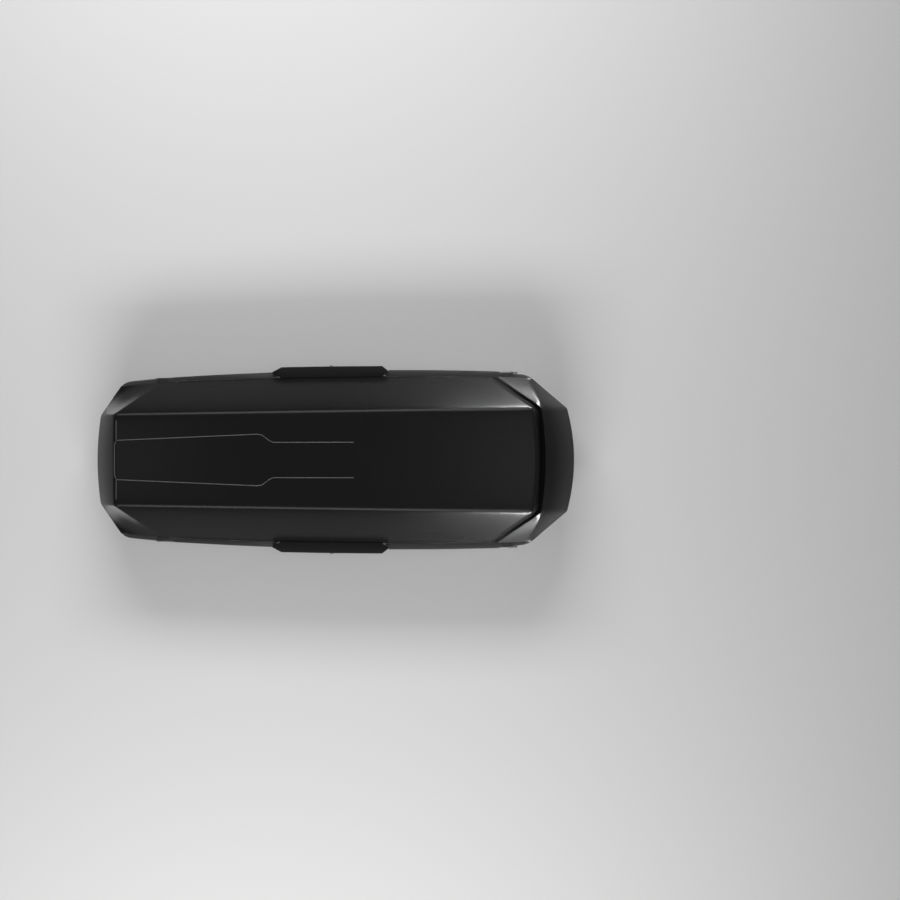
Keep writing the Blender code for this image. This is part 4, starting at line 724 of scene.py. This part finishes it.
def notchCutter():
    # room for the knuckles, cut through the flange outboard of each hinge line
    h, b = hingeShape, baseShape
    floor = h["knuckle"] - b["wall"] - h["notchSink"]
    knuckle = h["knuckle"] + h["knuckleRoom"]
    deep, reach = -b["flangeLip"] - h["knuckle"], h["notchReach"]
    v = np.array([-reach, -knuckle, -knuckle, reach, reach, -reach])
    w = np.array([floor, floor, deep, deep, reach, reach])
    return makePrisms("notchCutter", [[hingePlace(u, v, w, x, side) for u in (-h["notchHalf"], h["notchHalf"])]
                                      for x in stationX.values() for side in (1, -1)])


def sillCutter():
    # the stretch between the hinges, where the sills take the flange's place
    h, b = hingeShape, baseShape
    x = straight(stationX["rear"] + h["sillStart"], stationX["front"] + h["sillEnd"], h["sillSteps"])
    outer = b["flangeHalf"] + h["sillReach"]
    outline = np.concatenate([np.stack([x, sideEdge(x) + h["sillSet"]], axis=1), [(x[-1], outer), (x[0], outer)]])
    levels = (rimZ - 2 * b["flangeLip"], rimZ + b["flangeLip"])
    return makePrisms("sillCutter", [[atHeight(outline * np.array([1, side]), z) for z in levels]
                                     for side in (1, -1)])


buildBase()

# rivet and screw heads
domeShape = dict(rings=5, around=20, sharp=50)


def dome(radius, height):
    # radius follows the sine and height the cosine of one angle, from the foot up
    rings, around = domeShape["rings"], domeShape["around"]
    a = np.linspace(math.pi / 2, 0.0, rings)[:, None]
    turn = np.linspace(0.0, 2 * math.pi, around, endpoint=False)[None]
    reach = radius * np.sin(a)
    return reach * np.cos(turn), reach * np.sin(turn), height * np.cos(a) + 0 * turn


def makeDomes(name, domes):
    # closed domes, each a grid of rings with a flat foot
    rings, around = domes[0].shape[:2]
    faces = []
    for k in range(len(domes)):
        first = k * rings * around
        faces += gridFaces(rings, around, first, closed=True).tolist() + [[first + j for j in range(around)]]
    heads = makeObject(name, np.stack(domes).reshape(-1, 3), faces, recalc=True)
    smooth(heads, domeShape["sharp"])
    return heads


def buildRivets():
    h = hingeShape
    u, v, w = dome(h["rivetRadius"], h["rivetHeight"])
    for endName, x in stationX.items():
        for sideName, side in (("left", 1), ("right", -1)):
            domes = [hingePlace(u + along, v + h["rivetV"], w + h["plateRise"], x, side)
                     for along in (-h["rivetU"], h["rivetU"])]
            rivets = makeDomes(f"{endName}_{sideName}_rivets", domes)
            dress(rivets, sideName + "_hinges", "zinc_steel", finishes["blackCoat"])


# screws that hold the floor rails, clear of the clamps' travel
railScrews = dict(radius=0.0045, height=0.0022, stations=(-0.592, -0.150, 0.095, 0.542), apart=0.064)


def buildRailScrews():
    r = railScrews
    x, y, z = dome(r["radius"], r["height"])
    for sideName in ("left", "right"):
        low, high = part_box(sideName + "_floor_rail")
        middle = (low.y + high.y) / 2
        domes = [np.stack([x + station, y + middle + shift, z + high.z], axis=-1)
                 for station in r["stations"] for shift in (-r["apart"] / 2, r["apart"] / 2)]
        dress(makeDomes(sideName + "_rail_screws", domes), "base", "zinc_steel", finishes["zincSteel"])


# key slots in the lock faces: dark plates, barely proud of the face, painted as the keyway's shade
keySlotShade = dict(length=0.0085, width=0.0018, proud=0.0002, sunk=0.0010, rise=0.006)


def buildKeySlotShades():
    k = keySlotShade
    for sideName, side in (("left", 1), ("right", -1)):
        low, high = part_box(sideName + "_lock_barrel")
        face = high.y if side > 0 else low.y
        x, z = (low.x + high.x) / 2, lidZ + k["rise"]
        wide, tall = k["width"] / 2, k["length"] / 2
        ring = np.array([(x - wide, 0.0, z - tall), (x + wide, 0.0, z - tall), (x + wide, 0.0, z + tall),
                         (x - wide, 0.0, z + tall)])
        pair = [ring + np.array([0.0, face + side * depth, 0.0]) for depth in (-k["sunk"], k["proud"])]
        # painted shade: a dark plate stands where the keyway's hole would be
        dress(makePrisms(sideName + "_key_slot_shade", [pair]), sideName + "_lock_barrel", "zinc_steel",
              finishes["blackCoat"])


buildRivets()
buildRailScrews()
buildKeySlotShades()
print("rivet heads: 8, rail screws: 16, key slots: 2")


# CAD nodes that keep their shape: a merged copy with its edges eased
easedNode = dict(weld=1e-6, flat=0.5, angle=35, segments=3, sharp=32)


def easeNode(node, material, width):
    e = easedNode
    source = frame["nodes"][node]
    mesh = source.data.copy()
    bm = bmesh.new()
    bm.from_mesh(mesh)
    bmesh.ops.remove_doubles(bm, verts=bm.verts, dist=e["weld"])
    bmesh.ops.dissolve_limit(bm, angle_limit=math.radians(e["flat"]), verts=bm.verts, edges=bm.edges)
    bm.to_mesh(mesh)
    bm.free()
    piece = bpy.data.objects.new(node + "_eased", mesh)
    bpy.context.scene.collection.objects.link(piece)
    addModifier(piece, "BEVEL", width=width, segments=e["segments"], limit_method="ANGLE",
                angle_limit=math.radians(e["angle"]), use_clamp_overlap=True)
    bake(piece)
    smooth(piece, e["sharp"])
    dress(piece, nodeBody[node], nodeSlot[node], material, node)


slotFinish = dict(base_satin="baseGrain", grip_matte="gripMatte", black_rubber="rubber", spring_steel="springSteel",
                  zinc_steel="zincSteel", coated_steel="blackCoat", lid_bow_alloy="alloy", clamp_nylon="nylon")
# easing by the last word of a node's name
easing = dict(grip=0.0020, knob=0.0020, sill=0.0012, housing=0.0015, jaw=0.0010, pad=0.0008, other=0.0005)
for node in sorted(frame["nodes"]):
    if node in ("lid_shell", "base_shell"):
        continue
    finishName = slotFinish[nodeSlot[node]]
    if "hinge" in node and finishName == "zincSteel":
        finishName = "blackCoat"
    easeNode(node, finishes[finishName], easing.get(node.split("_")[-1], easing["other"]))
print("nodes eased:", len(frame["nodes"]) - 2)

# pale floor and soft studio light
studio = dict(floorSize=40.0, floorColour=(0.78, 0.78, 0.78), floorRough=0.9, floorSpecular=0.1, floorDrop=0.0005,
              zenith=0.03, horizon=0.32, zenithFrom=0.7)
# lamps over the ends, and those that stand once on each side; the low ones light the box alone
overhead = dict(noseSky=dict(place=(1.8, 0.0, 6.5), aim=(0.9, 0.0, 0.45), size=(2.2, 1.4), power=19.0),
                tailSky=dict(place=(-2.9, 0.0, 6.5), aim=(-1.0, 0.0, 0.45), size=(2.2, 1.4), power=12.0))
beside = dict(softbox=dict(place=(-0.4, 4.2, 3.4), aim=(-0.4, 0.0, 0.2), size=(4.4, 1.1), power=175.0),
              edgeLight=dict(place=(1.42, 3.2, 0.24), aim=(1.0, 0.3, 0.34), size=(0.7, 0.8), power=10.0, spread=28.0,
                             boxOnly=True),
              tailLight=dict(place=(-1.20, 0.49, 0.012), aim=(-1.15, 0.42, 0.5), size=(0.34, 0.30), power=0.40,
                             boxOnly=True))


def addFloor():
    half = studio["floorSize"] / 2
    corners = [(-half, -half, 0.0), (half, -half, 0.0), (half, half, 0.0), (-half, half, 0.0)]
    floor = makeObject("studioFloor", corners, [(0, 1, 2, 3)])
    material = bpy.data.materials.new("paleFloor")
    material.use_nodes = True
    shader = material.node_tree.nodes["Principled BSDF"]
    shader.inputs["Roughness"].default_value = studio["floorRough"]
    shader.inputs["Base Color"].default_value = (*studio["floorColour"], 1.0)
    shader.inputs["Specular IOR Level"].default_value = studio["floorSpecular"]
    floor.data.materials.append(material)
    floor.location.z = -studio["floorDrop"]


def addWorld():
    # light grows from a dim zenith to a brighter horizon
    world = bpy.data.worlds.new("studioWorld")
    world.use_nodes = True
    bpy.context.scene.world = world
    tree = world.node_tree
    place = tree.nodes.new("ShaderNodeTexCoord")
    split = tree.nodes.new("ShaderNodeSeparateXYZ")
    ramp = tree.nodes.new("ShaderNodeValToRGB")
    tree.links.new(place.outputs["Generated"], split.inputs[0])
    tree.links.new(split.outputs["Z"], ramp.inputs["Fac"])
    tree.links.new(ramp.outputs["Color"], tree.nodes["Background"].inputs["Color"])
    low, high = studio["horizon"], studio["zenith"]
    ramp.color_ramp.elements[0].color = (low, low, low, 1.0)
    ramp.color_ramp.elements[1].color = (high, high, high, 1.0)
    ramp.color_ramp.elements[1].position = studio["zenithFrom"]


def addSoftbox(name, place, aim, size, power, spread=180.0, boxOnly=False):
    data = bpy.data.lights.new(name, "AREA")
    data.shape = "RECTANGLE"
    data.size, data.size_y = size
    data.energy, data.spread = power, math.radians(spread)
    lamp = bpy.data.objects.new(name, data)
    lamp.location = place
    way = np.asarray(aim, float) - np.asarray(place, float)
    tilt, turn = math.acos(-way[2] / np.linalg.norm(way)), math.atan2(way[1], way[0]) - math.pi / 2
    lamp.rotation_euler = (tilt, 0.0, turn)
    lamp.visible_camera = False
    if boxOnly:
        lamp.light_linking.receiver_collection = boxPieces
    bpy.context.scene.collection.objects.link(lamp)


boxPieces = bpy.data.collections.new("boxPieces")
for piece in dressed:
    boxPieces.objects.link(piece)
addFloor()
addWorld()
for name, lamp in overhead.items():
    addSoftbox(name, **lamp)
for sideName, sign in (("Left", 1), ("Right", -1)):
    mirror = np.array([1.0, sign, 1.0])
    for name, lamp in beside.items():
        addSoftbox(name + sideName, **dict(lamp, place=lamp["place"] * mirror, aim=lamp["aim"] * mirror))
print("lamps:", len(bpy.data.lights))

bpy.context.scene.view_settings.view_transform = "Standard"
